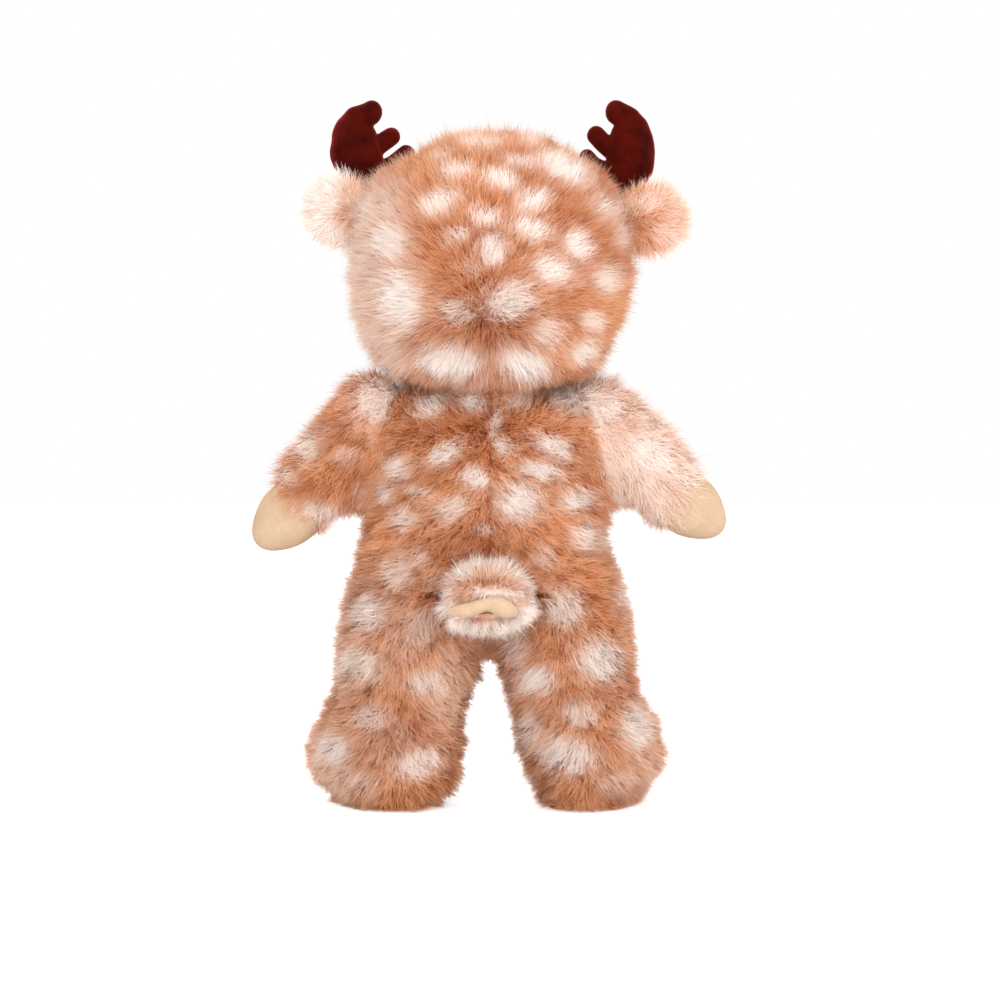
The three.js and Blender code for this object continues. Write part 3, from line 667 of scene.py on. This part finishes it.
def head_colours(points, normals):
    _, drift = slopes(points, 0.05, 11)
    low = ease(0.31, 0.27, points[:, 2]) * ease(0.055, 0.02, np.abs(points[:, 0]))
    right = ease(-0.012, -0.045, points[:, 0]) * ease(0.29, 0.32, points[:, 2])
    seam = ease(0.005, 0.001, np.abs(points[:, 0])) * ease(0.28, 0.272, points[:, 2])
    tone = np.clip(0.46 + 0.18 * drift - 0.15 * low - 0.36 * right - 0.35 * seam, 0, 1)
    pale_side = ease(0.036, 0.058, points[:, 0] + 0.004 * drift) * ease(0.378, 0.35, points[:, 2])
    face = ease(-0.01, -0.05, points[:, 1]) * ease(0.35, 0.31, points[:, 2])
    pattern = np.maximum(mark_mask(points, head_spots, 12), np.maximum(0.62 * pale_side, 0.8 * face))
    return np.maximum(tone, 0.9 * face), pattern


def always(value):
    return lambda points, normals: np.full(len(points), value)


head_style = {
    "density": 2.4,
    "thick": always(1.0),
    "comb": head_comb,
    "tousle": 0.3,
    "length": head_length,
    "lean": (18, 46),
    "locks": 0.9,
    "uneven_tone_and_shade": 1.0,
    "width": 0.15 * mm,
}
grow_pile("head_pile", head, "head", head_style, head_colours, 101)
stands_for(head, 0.85, "head_fur", "head_filling")

# Neck
# A ball of wadding in knitted backing that the head is sewn over, with short pile where the two meet.
neck = backing("neck", ["neck_filling"], 2 * mm, 1 * mm)
neck_style = {**head_style, "density": 1.5, "length": always(9 * mm)}
neck_style["comb"] = lambda points, normals: points * [25, 25, 0] + [0, 0, -0.3]
grow_pile("neck_pile", neck, "neck", neck_style, head_colours, 102)
stands_for(neck, 0.8, "neck_filling")

# Torso
# Two back panels and a plain front of the same fur, closed by a seam down the back where the pile parts.
body_marks = [
    (426, 404, 15, 8, -30, 1), (471, 399, 15, 8, 15, 1), (520, 400, 12, 6, 0, 0.7),
    (495, 424, 7, 14, 15, 0.95), (506, 447, 10, 7, 0, 0.9), (556, 447, 19, 9, 25, 1),
    (442, 455, 15, 8, -30, 1), (544, 473, 20, 8, 8, 1), (395, 471, 10, 11, 0, 0.9),
    (476, 480, 14, 9, 15, 1), (521, 504, 21, 16, 0, 1), (416, 494, 15, 5, 15, 0.6),
    (580, 502, 15, 9, -5, 0.95), (447, 511, 16, 10, -20, 0.85), (381, 495, 8, 9, 0, 0.8),
    (399, 521, 12, 9, 0, 0.85), (485, 532, 10, 4, 0, 0.6), (589, 539, 12, 12, 0, 0.9),
    (416, 559, 9, 8, 0, 0.6), (547, 559, 10, 10, 0, 0.55), (392, 573, 12, 16, 30, 0.75),
    (432, 587, 8, 10, 0, 0.4), (574, 397, 24, 14, 25, 0.9),
    (364, 615, 18, 17, 0, 0.95), (419, 632, 17, 18, 0, 0.6), (352, 668, 30, 16, 15, 0.9),
    (430, 687, 21, 12, 0, 0.85), (368, 721, 18, 11, 0, 0.8), (419, 766, 24, 12, -20, 0.95),
    (328, 753, 19, 16, 10, 0.95), (350, 785, 24, 11, 10, 0.6), (395, 576, 14, 16, 0, 0.6),
    (566, 611, 17, 17, 0, 0.9), (629, 598, 12, 16, 0, 0.8), (604, 663, 23, 18, 0, 1),
    (534, 684, 17, 12, 0, 0.95), (513, 652, 11, 15, 0, 0.7), (580, 718, 17, 11, 0, 0.8),
    (526, 734, 13, 15, 0, 0.8), (564, 758, 30, 16, 10, 0.95), (643, 728, 19, 21, 20, 1),
    (620, 785, 22, 11, -10, 0.5), (345, 640, 26, 60, 0, 0.45), (325, 765, 30, 45, 0, 0.5),
    (400, 640, 30, 30, 0, 0.35), (450, 690, 22, 42, 0, 0.4), (385, 745, 32, 26, 0, 0.3),
    (512, 655, 16, 34, 0, 0.4), (640, 620, 26, 60, 0, 0.3), (655, 750, 30, 50, 0, 0.4),
    (535, 745, 36, 40, 0, 0.15),
]
hip = 0.12


def body_comb(points, normals):
    x, y, z = points.T
    side = np.sign(x + 0.001)
    in_leg = ease(0.14, 0.09, z)[:, None]
    spread = side * (0.1 + 0.5 * ease(-0.01, 0.01, y))
    on_trunk = np.stack([spread, 0.1 * np.sign(y), 0.9 * ease(0.215, 0.235, z) - 0.7], axis=1)
    on_leg = np.stack([(x - side * 0.052) / 0.058, (y + 0.008) / 0.1, np.full(len(x), -0.75)], axis=1)
    return on_trunk + (on_leg - on_trunk) * in_leg


def torso_sink(points):
    return pile_sink - 5 * mm * ease(0.222, 0.236, points[:, 2]) * ease(0.07, 0.05, np.abs(points[:, 0]))


seams = {}
body_ends = [("neck_filling", Vector((0, 0, 0.25)), Vector((0, 0, 1)))]
body_solids = ["torso_fur", "torso_filling"]
for side, mirror in both_sides:
    seams[side] = (np.array([mirror * 60, 0, 209]) * mm, np.array([mirror * 0.961262, 0, 0.275637]))
    past_seam = Vector(seams[side][0] + seams[side][1] * 30 * mm)
    body_ends += [(f"arm_{side}_{layer}", past_seam, Vector(seams[side][1])) for layer in ("fur", "filling")]
    body_solids += [f"leg_{side}_fur", f"leg_{side}_filling", f"sole_{side}"]
body_ends += [("tail_fur", Vector((0, 0.056, 0)), Vector((0, 1, 0)))]
ground = (np.zeros(3), np.array([0, 0, 1.0]))
torso = backing("torso", body_solids, sink=torso_sink, ends=body_ends, seam=ground)
points, _, _ = surface_of(torso)
in_front = ease(0.01, -0.02, points[:, 1])
crease = 0.109 + 0.028 * in_front
smooth_out(torso, 80, np.clip(1.6 - np.abs(points[:, 2] - crease) / (12 * mm + 8 * mm * in_front), 0, 1))
points, _, _ = surface_of(torso)
points[:, 2] = np.maximum(points[:, 2], 1.5 * mm)
set_points(torso, points)
body_surface = surface_of(torso)
body_spots = placed_marks(body_marks, body_surface)
body_spots += scattered_marks(body_surface, 26 * mm, 4, lowest=0.015)
legs = {}
for side, mirror in both_sides:
    legs[side] = added(f"leg_{side}", torso.data.copy())
    cut_off(legs[side], Vector((0, 0, hip)), Vector((0, 0, 1)))
    cut_off(legs[side], Vector((0, 0, 0)), Vector((-mirror, 0, 0)))
for place, outward in seams.values():
    cut_off(torso, Vector(place + outward * 2 * mm), Vector(outward))
cut_off(torso, Vector((0, 0, hip)), Vector((0, 0, -1)))


def body_colours(points, normals):
    _, drift = slopes(points, 0.045, 21)
    _, small = slopes(points, 0.016, 22)
    seam = ease(0.012, 0.0, np.abs(points[:, 0] + 0.001)) * ease(0.1, 0.12, points[:, 2])
    low = ease(0.13, 0.09, points[:, 2])
    tone = np.clip(0.58 + 0.06 * low + 0.19 * drift + 0.09 * small - 0.12 * seam, 0, 1)
    return tone, mark_mask(points, body_spots, 23)


def torso_thick(points, normals):
    in_arm = [((points - place) @ outward > 1.6 * mm) for place, outward in seams.values()]
    return np.where(in_arm[0] | in_arm[1] | (points[:, 2] < hip), 0.0, 1.0)


def body_length(points, normals):
    seam = ease(0.004, 0.0, np.abs(points[:, 0] + 0.001)) * (points[:, 1] > 0) * (points[:, 2] > 0.1)
    return pile_length * (1 - 0.25 * seam) * (0.65 + 0.35 * ease(0.004, 0.022, points[:, 2]))


torso_style = {**head_style, "thick": torso_thick, "comb": body_comb, "length": body_length}
torso_style.update({"tousle": 0.4, "locks": 1.25, "lean": (16, 40)})
grow_pile("torso_pile", torso, "torso", torso_style, body_colours, 201, body_surface)
for side, mirror in both_sides:

    def armhole_comb(points, normals, seam=seams[side]):
        offset = points - seam[0]
        return (offset - (offset @ seam[1])[:, None] * seam[1]) / (12 * mm)

    def armhole_thick(points, normals, seam=seams[side]):
        return 0.5 * (((points - seam[0]) @ seam[1] > 1.5 * mm) & (normals @ seam[1] > 0.5))

    armhole_style = {**head_style, "thick": armhole_thick, "comb": armhole_comb, "length": always(8 * mm)}
    grow_pile(f"armhole_{side}_pile", torso, "torso", armhole_style, body_colours, 210 + mirror)
stands_for(torso, 0.8, "torso_fur", "torso_filling")

# Legs
# Stuffed legs with boot-shaped feet that are turned out, cut from the same skin as the torso.
# The top of each leg follows the torso across the hip.
for side, mirror in both_sides:

    def leg_thick(points, normals, mirror=mirror):
        underneath = (points[:, 2] < 0.011) & (normals[:, 2] < -0.85)
        return np.where(underneath | (points[:, 2] >= hip) | (points[:, 0] * mirror < 0), 0.0, 1.0)

    leg = legs[side]
    leg_style = {**torso_style, "thick": leg_thick}
    bend = ("torso", f"leg_{side}", (0, 0, hip), (0, 0, hip - 0.05))
    grow_pile(f"leg_{side}_pile", leg, bend, leg_style, body_colours, 300 + mirror, body_surface)
    stands_for(leg, 0.8, f"leg_{side}_fur", f"leg_{side}_filling")

# Velour
# Short knitted velour: its nap catches the light at the edges, and lies differently from place to place,
# which is painted into its colour as soft lighter and darker patches: painted highlight and painted shade
nap_dyes = {"Deep": "Color", "Pale": "Color", "Patch": "Float", "Grain": "Float"}
nap, given, result = group("nap", nap_dyes, {"Color": "Color", "Height": "Float"})
where = new_node(nap, "TexCoord").outputs["Object"]


def noise(scale, detail):
    values = {"Vector": where, "Scale": scale, "Detail": detail, "Roughness": 0.6}
    return new_node(nap, "TexNoise", values).outputs["Fac"]


# Painted highlight and shade: soft patches between the deep and the pale colour stand for the nap catching
# the light differently
soft = ramp(nap, noise(given.outputs["Patch"], 3.0), [(0.36, 0.0), (0.64, 1.0)])
grain = noise(given.outputs["Grain"], 2.0)
base = mix(nap, soft, given.outputs["Deep"], given.outputs["Pale"])
speck = ramp(nap, grain, [(0.3, 0.84), (0.7, 1.0)])
fill_in(result, {"Color": mix(nap, 1.0, base, speck, "MULTIPLY"), "Height": grain})


def dress(piece, material, body, slot, fill, *nodes):
    """Give a padded piece its cloth and its body, and hide the solids that it stands for"""
    piece.data.materials.clear()
    piece.data.materials.append(material)
    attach(piece, body)
    stands_for(piece, fill, *nodes)


def velour_material(name, deep, pale, patch, grain_scale, bump, sheen):
    tint = (*(min(1, 8 * value + 0.05) for value in pale), 1)
    values = {"Roughness": 0.85, "Specular IOR Level": 0.04}
    values.update({"Sheen Weight": sheen, "Sheen Tint": tint, "Sheen Roughness": 0.4})
    material, tree, shader = new_material(name, values)
    dyes = {"Deep": (*deep, 1), "Pale": (*pale, 1), "Patch": patch, "Grain": grain_scale}
    cloth = use_group(tree, nap, dyes)
    relief = new_node(tree, "Bump", {"Strength": bump, "Distance": 0.0004, "Height": cloth["Height"]})
    fill_in(shader, {"Base Color": cloth["Color"], "Normal": relief.outputs["Normal"]})
    return material


cream_velour = velour_material("cream_velour", (0.5, 0.345, 0.225), (0.56, 0.4, 0.27), 45, 1500, 0.5, 0.1)

# Soles
# Flat velour ovals that the doll stands on, with a soft edge where they are sewn into the fur.
for side in ("left", "right"):
    low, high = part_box(f"sole_{side}")
    sole = as_one_form(f"sole_{side}_velour", [f"sole_{side}"], 0.9 * mm)
    smooth_out(sole, 5)
    points, _, _ = surface_of(sole)
    middle = np.array([(low.x + high.x) / 2, (low.y + high.y) / 2, 0])
    points = middle + (points - middle) * np.array([0.78, 0.84, 0.7])
    points[:, 2] = np.clip(points[:, 2], 0.0, high.z)
    set_points(sole, points)
    dress(sole, cream_velour, f"leg_{side}", "cream_velour", 0.3, f"sole_{side}")

# Arms and hands
# Fur sleeves that end in a cuff, and velour mittens sewn into them, each with a seam along its middle.
arm_marks = {
    "left": [
        (375, 396, 24, 27, 10, 0.95), (300, 446, 13, 15, -30, 0.85), (344, 457, 10, 8, 0, 0.5),
        (322, 518, 22, 9, 20, 0.85), (283, 478, 8, 8, 0, 0.6),
    ],
    "right": [(600, 400, 26, 18, 30, 1), (655, 455, 26, 18, 35, 1), (690, 480, 14, 12, 0, 0.9)],
}

# Where each hand leaves its cuff, in mm, and the slope of the arm there, in degrees
wrist = {"left": (112.8, 171.2, 42.5), "right": (-113.0, 177.0, 37.5)}
for side, mirror in both_sides:
    solids = [f"arm_{side}_fur", f"arm_{side}_filling", f"hand_{side}"]
    arm = backing(f"arm_{side}", solids, 2.5 * mm, 8.5 * mm, seam=seams[side])
    arm_surface = surface_of(arm)
    arm_spots = placed_marks(arm_marks[side], arm_surface)
    if side == "left":
        arm_spots += scattered_marks(arm_surface, 24 * mm, 8, lowest=0.015)
    wrist_x, wrist_z, slope = wrist[side]
    heading = np.array([mirror * math.cos(math.radians(slope)), 0, -math.sin(math.radians(slope))])
    wrist_point = np.array([wrist_x, 0, wrist_z]) * mm

    def arm_thick(points, normals, wrist_point=wrist_point, heading=heading, seam=seams[side]):
        past_wrist = (points - wrist_point) @ heading
        inside = ((points - seam[0]) @ seam[1] < 1.5 * mm) & (normals @ seam[1] < -0.7)
        return np.where(past_wrist < -1 * mm, np.where(inside, 0.4, 1.0), 0.0)

    def arm_comb(points, normals, heading=heading):
        return heading * 1.0 + normals * 0.2 + np.array([0, 0, -0.25])

    def arm_colours(points, normals, spots=arm_spots, side=side):
        _, drift = slopes(points, 0.04, 41)
        if side == "right":
            pattern = np.clip(0.74 + 0.1 * drift, 0.5, 1)
            return np.clip(0.8 + 0.2 * drift, 0, 1), np.maximum(pattern, mark_mask(points, spots, 43))
        tone = np.clip(0.45 + 0.2 * drift, 0, 1)
        return tone, mark_mask(points, spots, 42)

    def arm_length(points, normals, seam=seams[side]):
        return 12 * mm * (0.5 + 0.5 * (normals @ seam[1] > -0.7))

    arm_style = {**torso_style, "comb": arm_comb, "thick": arm_thick, "length": arm_length}
    arm_style.update({"tousle": 0.25, "locks": 1.0, "lean": (26, 52)})
    arm_style["uneven_tone_and_shade"] = 1.0 if side == "left" else 0.5
    grow_pile(f"arm_{side}_pile", arm, f"arm_{side}", arm_style, arm_colours, 400 + mirror)
    stands_for(arm, 0.8, f"arm_{side}_fur", f"arm_{side}_filling")

    bpy.ops.object.select_all(action="DESELECT")
    bpy.ops.mesh.primitive_uv_sphere_add(segments=64, ring_count=40, radius=1, location=(0, 0, 0))
    hand = bpy.context.active_object
    hand.name = f"hand_{side}_velour"
    points, _, _ = surface_of(hand)
    reach = points[:, 2]
    taper = 1 - 0.1 * ease(0.2, 1.0, reach)
    groove = 0.5 * mm * np.exp(-((points[:, 0] / 0.045) ** 2)) * (reach < 0.97)
    scaled = points * np.array([18.2, 13.5, 28.2]) * mm
    scaled[:, :2] *= taper[:, None]
    scaled -= unit(points) * groove[:, None] * (points[:, 1] > 0)[:, None]
    tall = np.array([mirror * math.sin(math.radians(slope)), 0, math.cos(math.radians(slope))])
    deep = np.array([0, 1.0, 0])
    turned = scaled[:, [0]] * tall + scaled[:, [1]] * deep + scaled[:, [2]] * heading
    set_points(hand, turned + wrist_point)
    edit(hand, bpy.ops.mesh.normals_make_consistent, inside=False)
    bpy.ops.object.shade_smooth()
    dress(hand, cream_velour, f"arm_{side}", "cream_velour", 0.85, f"hand_{side}")

# Ears
# Round fur ears with a velour lining in front, on a root that is sewn into the side of the head.
ear_marks = {
    "left": [(318, 200, 16, 20, 0, 1)],
    "right": [(650, 200, 14, 10, 0, 0.8), (672, 235, 14, 12, 0, 0.7)],
}
for side, mirror in both_sides:
    ear = backing(f"ear_{side}", [f"ear_{side}_fur", f"ear_{side}_lining"], 1.5 * mm, 3.5 * mm)
    low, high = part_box(f"ear_{side}_fur")
    points, _, _ = surface_of(ear)
    inward = np.array([-mirror * 0.85, 0, -0.53])
    centre = np.array([(low.x + high.x) / 2, 0.006, (low.z + high.z) / 2])
    toward_head = unit(points - centre) @ inward
    raised = np.array([0, 0, 0.8 if side == "left" else 1.4]) * mm
    grown = 0.06 if side == "left" else 0.02
    points += (points - centre) * np.array([grown, 0, grown])
    set_points(ear, points + raised + inward * (8 * mm * np.clip(toward_head, 0, 1) ** 2)[:, None])
    ear_surface = surface_of(ear)
    middle = centre - np.array([mirror * 13 * mm, 0, 0])
    ear_spots = placed_marks(ear_marks[side], ear_surface)

    def ear_comb(points, normals, middle=middle):
        return (points - middle) * np.array([1, 0.25, 1]) / (12 * mm)

    def ear_colours(points, normals, spots=ear_spots, side=side, middle=middle):
        _, drift = slopes(points, 0.02, 51)
        rim = ease(14 * mm, 30 * mm, np.linalg.norm((points - middle)[:, [0, 2]], axis=1))
        base = 0.64 if side == "left" else 0.2
        pattern = np.clip(base + 0.4 * rim + 0.1 * drift, 0, 1)
        return np.clip(0.75 + 0.15 * drift, 0, 1), np.maximum(pattern, mark_mask(points, spots, 52))

    ear_style = {**head_style, "comb": ear_comb, "tousle": 0.25, "locks": 0.8}
    ear_style.update({"uneven_tone_and_shade": 0.6, "lean": (30, 60)})
    ear_style["length"] = lambda points, normals: 10 * mm * (0.6 + 0.4 * (normals[:, 1] > -0.3))
    grow_pile(f"ear_{side}_pile", ear, f"ear_{side}", ear_style, ear_colours, 500 + mirror)
    stands_for(ear, 0.6, f"ear_{side}_fur")

    lining = as_one_form(f"ear_{side}_velour", [f"ear_{side}_lining"], 0.9 * mm)
    smooth_out(lining, 6)
    dress(lining, cream_velour, f"ear_{side}", "cream_velour", 0.4, f"ear_{side}_lining")

# Antlers
# Stuffed velour antlers, a curled beam with two tines each, firm and a little lumpy where the wadding packs.
# The antler velour's darker and lighter colours are painted shade and painted highlight of its nap
shaded_nap, lit_nap = (0.026, 0.0008, 0.0003), (0.068, 0.003, 0.0008)
antler_velour = velour_material("antler_velour", shaded_nap, lit_nap, 60, 1700, 0.9, 0.9)
# Each branch as it is seen from behind: pixels across and down, half its width, from root to tip
branches = {
    "left": [
        [(371, 192, 9), (365, 181, 18), (359.5, 167, 24), (356, 152, 26.5), (354, 140, 23), (353, 130, 18.5)],
        [(353, 130, 18.5), (356.5, 122, 15), (363, 116.5, 12.5), (371, 112.5, 12)],
        [(374, 150, 9.5), (383, 143, 9.5), (391.5, 136, 9.5)],
        [(376, 176, 11), (388, 168, 9.5), (397, 160, 8.5), (406, 153, 8.3)],
    ],
    "right": [
        [
            (620, 192, 9), (625, 181, 17.5), (630, 167, 23.5),
            (631, 152, 24.7), (631.5, 140, 22), (631.5, 130, 18),
        ],
        [(631.5, 130, 18), (628.5, 122, 14.5), (623.5, 117, 12.5), (616.5, 112.5, 12)],
        [(613, 151, 9.5), (604, 144, 9.5), (596, 135.5, 9.3)],
        [(613, 177, 11), (602, 170.5, 9.5), (594, 164.5, 8.2), (587, 157.5, 8)],
    ],
}


def tube_faces(rows, turns):
    """The faces of a tube, from a number of rows of points that go round it"""
    near = np.arange((rows - 1) * turns).reshape(-1, turns)
    following = np.roll(near, -1, axis=1)
    return np.stack([near, following, following + turns, near + turns], axis=2).reshape(-1, 4)


turns, rings = 24, 15
angles = np.linspace(0, 2 * math.pi, turns + 1)[:-1], np.linspace(0.001, math.pi - 0.001, rings)
round_it, down = np.meshgrid(*angles)
ball = [np.cos(round_it) * np.sin(down), np.sin(round_it) * np.sin(down), np.cos(down)]
ball = np.stack(ball, axis=2).reshape(-1, 3)
ball_faces = tube_faces(rings, turns)[:, [1, 0, 3, 2]]
for side in ("left", "right"):
    low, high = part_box(f"antler_{side}")
    balls = []
    for number, branch in enumerate(branches[side]):
        back_off = (low.y + high.y) / 2 - (0, 0, 1.5, 2.5)[number] * mm
        stations = np.linspace(0, len(branch) - 1, 8 * len(branch))
        columns = [np.interp(stations, range(len(branch)), column) for column in zip(*branch)]
        for px, py, half in zip(*columns):
            x, z = seen_at(px, py, back_off)
            balls.append(ball * half * pixel * [1, min(1, 0.5 + 3.2 / half), 1] + [x, back_off, z])
    mesh = bpy.data.meshes.new(f"antler_{side}_velour")
    faces = np.concatenate([ball_faces + number * len(ball) for number in range(len(balls))])
    mesh.from_pydata(np.concatenate(balls).tolist(), [], faces.tolist())
    antler = added(f"antler_{side}_velour", mesh)
    only(antler)
    mesh.remesh_voxel_size = 0.8 * mm
    bpy.ops.object.voxel_remesh()
    bpy.ops.object.shade_smooth()
    smooth_out(antler, 5)
    points, normals, _ = surface_of(antler)
    _, lumps = slopes(points, 0.014, 61)
    set_points(antler, points + normals * (0.3 * mm * lumps[:, None]))
    dress(antler, antler_velour, "head", "antler_velour", 0.9, f"antler_{side}")

# Tail
# A tuft of the longest pile, pale at its tips, that opens over a two-lobed fold of velour.
# What lies further back than tail_back is the side of the tail that the fold is on.
tail_back = 0.06


def from_fold(points):
    """How far out from the middle of the velour fold each point is seen, 1 at its edge"""
    across, up = in_pixels(as_seen(points))
    return np.hypot((across - 483) / 38, (up - 609) / 10)


tail = backing("tail", ["tail_fur", "tail_lining"], 1.8 * mm, 5 * mm)
points, _, _ = surface_of(tail)
points[:, 2] = np.where(points[:, 2] < 0.122, 0.122 + (points[:, 2] - 0.122) * 0.75, points[:, 2])
set_points(tail, points)
points, _, _ = surface_of(tail)
points[:, 1] -= 4 * mm * ease(1.6, 0.9, from_fold(points)) * (points[:, 1] > tail_back)
set_points(tail, points)
tail_middle = np.array([0, 62, 128]) * mm


def over_fold(points):
    """1 for the strands that hang over the upper edge of the fold"""
    above = as_seen(points)[:, 2] > (floor_row - 603) * pixel
    return ease(2.8, 1.8, from_fold(points)) * above * (points[:, 1] > tail_back)


def tail_comb(points, normals):
    outward = (points - tail_middle) * np.array([1, 0.2, 1]) / (20 * mm) + np.array([0, 0, -0.1])
    aside = np.sign(points[:, [0]] + 0.012)
    hanging = aside * np.array([0.35, 0, 0]) + np.array([0, 0, -0.8])
    return outward + (hanging - outward) * over_fold(points)[:, None]


def tail_colours(points, normals):
    _, drift = slopes(points, 0.02, 71)
    across, up = in_pixels(as_seen(points))
    out = np.hypot((across - 488) / 52, (up - 596) / 42)
    tuft = ease(1.4, 0.8, np.hypot((across - 499) / 25, (up - 594) / 9) + 0.15 * drift)
    below = ease(606, 616, up) * ease(6, 18, np.abs(across - 487))
    pattern = np.maximum(ease(0.62, 0.92, out + 0.08 * drift), np.maximum(tuft, below))
    return np.clip(0.95 + 0.1 * drift, 0, 1), 0.42 + 0.58 * pattern


def tail_thick(points, normals):
    return np.where((from_fold(points) < 0.85) & (points[:, 1] > tail_back), 0.0, 1.0)


def tail_length(points, normals):
    return 12 * mm * (0.8 + 0.2 * ease(0.11, 0.125, points[:, 2])) * (1 - 0.35 * over_fold(points))


tail_style = {**head_style, "comb": tail_comb, "thick": tail_thick, "length": tail_length}
tail_style.update({"tousle": 0.4, "uneven_tone_and_shade": 0.3, "lean": (24, 56), "density": 4.5, "width": 0.12 * mm})
grow_pile("tail_pile", tail, "tail", tail_style, tail_colours, 601)
stands_for(tail, 0.6, "tail_fur")

# The fold as it is seen from behind: along it in pixels, its upper edge and its lower edge
fold = np.array(
    [
        (446, 612.5, 613.5), (449, 609, 615), (454, 606, 617), (462, 604, 618), (471, 602, 617),
        (479, 599.5, 614), (485, 598, 611), (489, 597, 611), (494, 596.5, 614), (500, 597, 617.5),
        (507, 600, 618.5), (513, 603.5, 617.5), (517, 607.5, 615.5), (519, 611, 612.5),
    ]
)
low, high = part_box("tail_lining")
along = (1 - np.cos(np.linspace(0, math.pi, 49))) / 2 * (519 - 446) + 446
upper, lower = np.interp(along, fold[:, 0], fold[:, 1]), np.interp(along, fold[:, 0], fold[:, 2])
turns = 32
turn = np.linspace(0, 2 * math.pi, turns + 1)[:-1]
half = (lower - upper)[:, None] / 2 * pixel
y = high.y - 6.8 * mm - 3 * mm * (1 - np.clip(half / (5 * mm), 0, 1)) + half * 0.8 * np.cos(turn)
x, z = seen_at(along[:, None], (upper + lower)[:, None] / 2, y)
z = z + half * np.sin(turn)
mesh = bpy.data.meshes.new("tail_velour")
rows = len(along)
faces = tube_faces(rows, turns).tolist()
faces += [range(turns - 1, -1, -1), range((rows - 1) * turns, rows * turns)]
mesh.from_pydata(np.stack([x, y, z], axis=2).reshape(-1, 3).tolist(), [], faces)
lobes = added("tail_velour", mesh)
edit(lobes, bpy.ops.mesh.normals_make_consistent, inside=False)
bpy.ops.object.shade_smooth()
smooth_out(lobes, 4)
dress(lobes, cream_velour, "tail", "cream_velour", 0.5, "tail_lining")

# Muzzle and nose
# A stuffed velour snout with a darker velour nose, both of a plain design.
muzzle = as_one_form("muzzle_velour", ["muzzle", "muzzle_filling"], 1.2 * mm)
smooth_out(muzzle, 10)
dress(muzzle, cream_velour, "head", "cream_velour", 0.8, "muzzle", "muzzle_filling")

nose_velour = velour_material("nose_velour", (0.03, 0.012, 0.009), (0.06, 0.024, 0.018), 160, 1700, 0.6, 0.3)
nose = as_one_form("nose_velour", ["nose"], 0.6 * mm)
smooth_out(nose, 8)
dress(nose, nose_velour, "head", "nose_velour", 0.8, "nose")

low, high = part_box("nose")
places = [vertex.co for vertex in muzzle.data.vertices]
skin = BVHTree.FromPolygons(places, [tuple(polygon.vertices) for polygon in muzzle.data.polygons])
lip_z = low.z - 6 * mm
stroke = [(0, low.z + 1 * mm - share * 7 * mm) for share in np.linspace(0, 1, 8)]
smile = [(x * mm, lip_z + 3 * mm * abs(x / 11) ** 1.8) for x in np.linspace(-11, 11, 23)]
thread = bpy.data.curves.new("mouth_stitch", "CURVE")
thread.dimensions = "3D"
thread.bevel_depth = 0.55 * mm
thread.bevel_resolution = 3
for line in (stroke, smile):
    spline = thread.splines.new("POLY")
    spline.points.add(len(line) - 1)
    for point, (x, z) in zip(spline.points, line):
        hit = skin.ray_cast(Vector((x, -0.2, z)), Vector((0, 1, 0)))[0]
        point.co = (x, hit.y if hit else muzzle_middle[1], z, 1)
only(added("mouth_stitch", thread))
bpy.ops.object.convert(target="MESH")
mouth = bpy.context.active_object
mouth.data.materials.clear()
mouth.data.materials.append(nose_velour)
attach(mouth, "head")

# Eyes
# Polished plastic safety eyes, each held from inside by a moulded washer.
plastics = {"eye_plastic": ((0.012, 0.007, 0.005), 0.06), "washer_plastic": ((0.75, 0.75, 0.72), 0.45)}
for name, (colour, rough) in plastics.items():
    material, _, _ = new_material(name, {"Base Color": (*colour, 1), "Roughness": rough})
    stem = "eye_" if name == "eye_plastic" else "eye_washer_"
    for side in ("left", "right"):
        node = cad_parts[stem + side]
        node.data.materials.clear()
        node.data.materials.append(material)
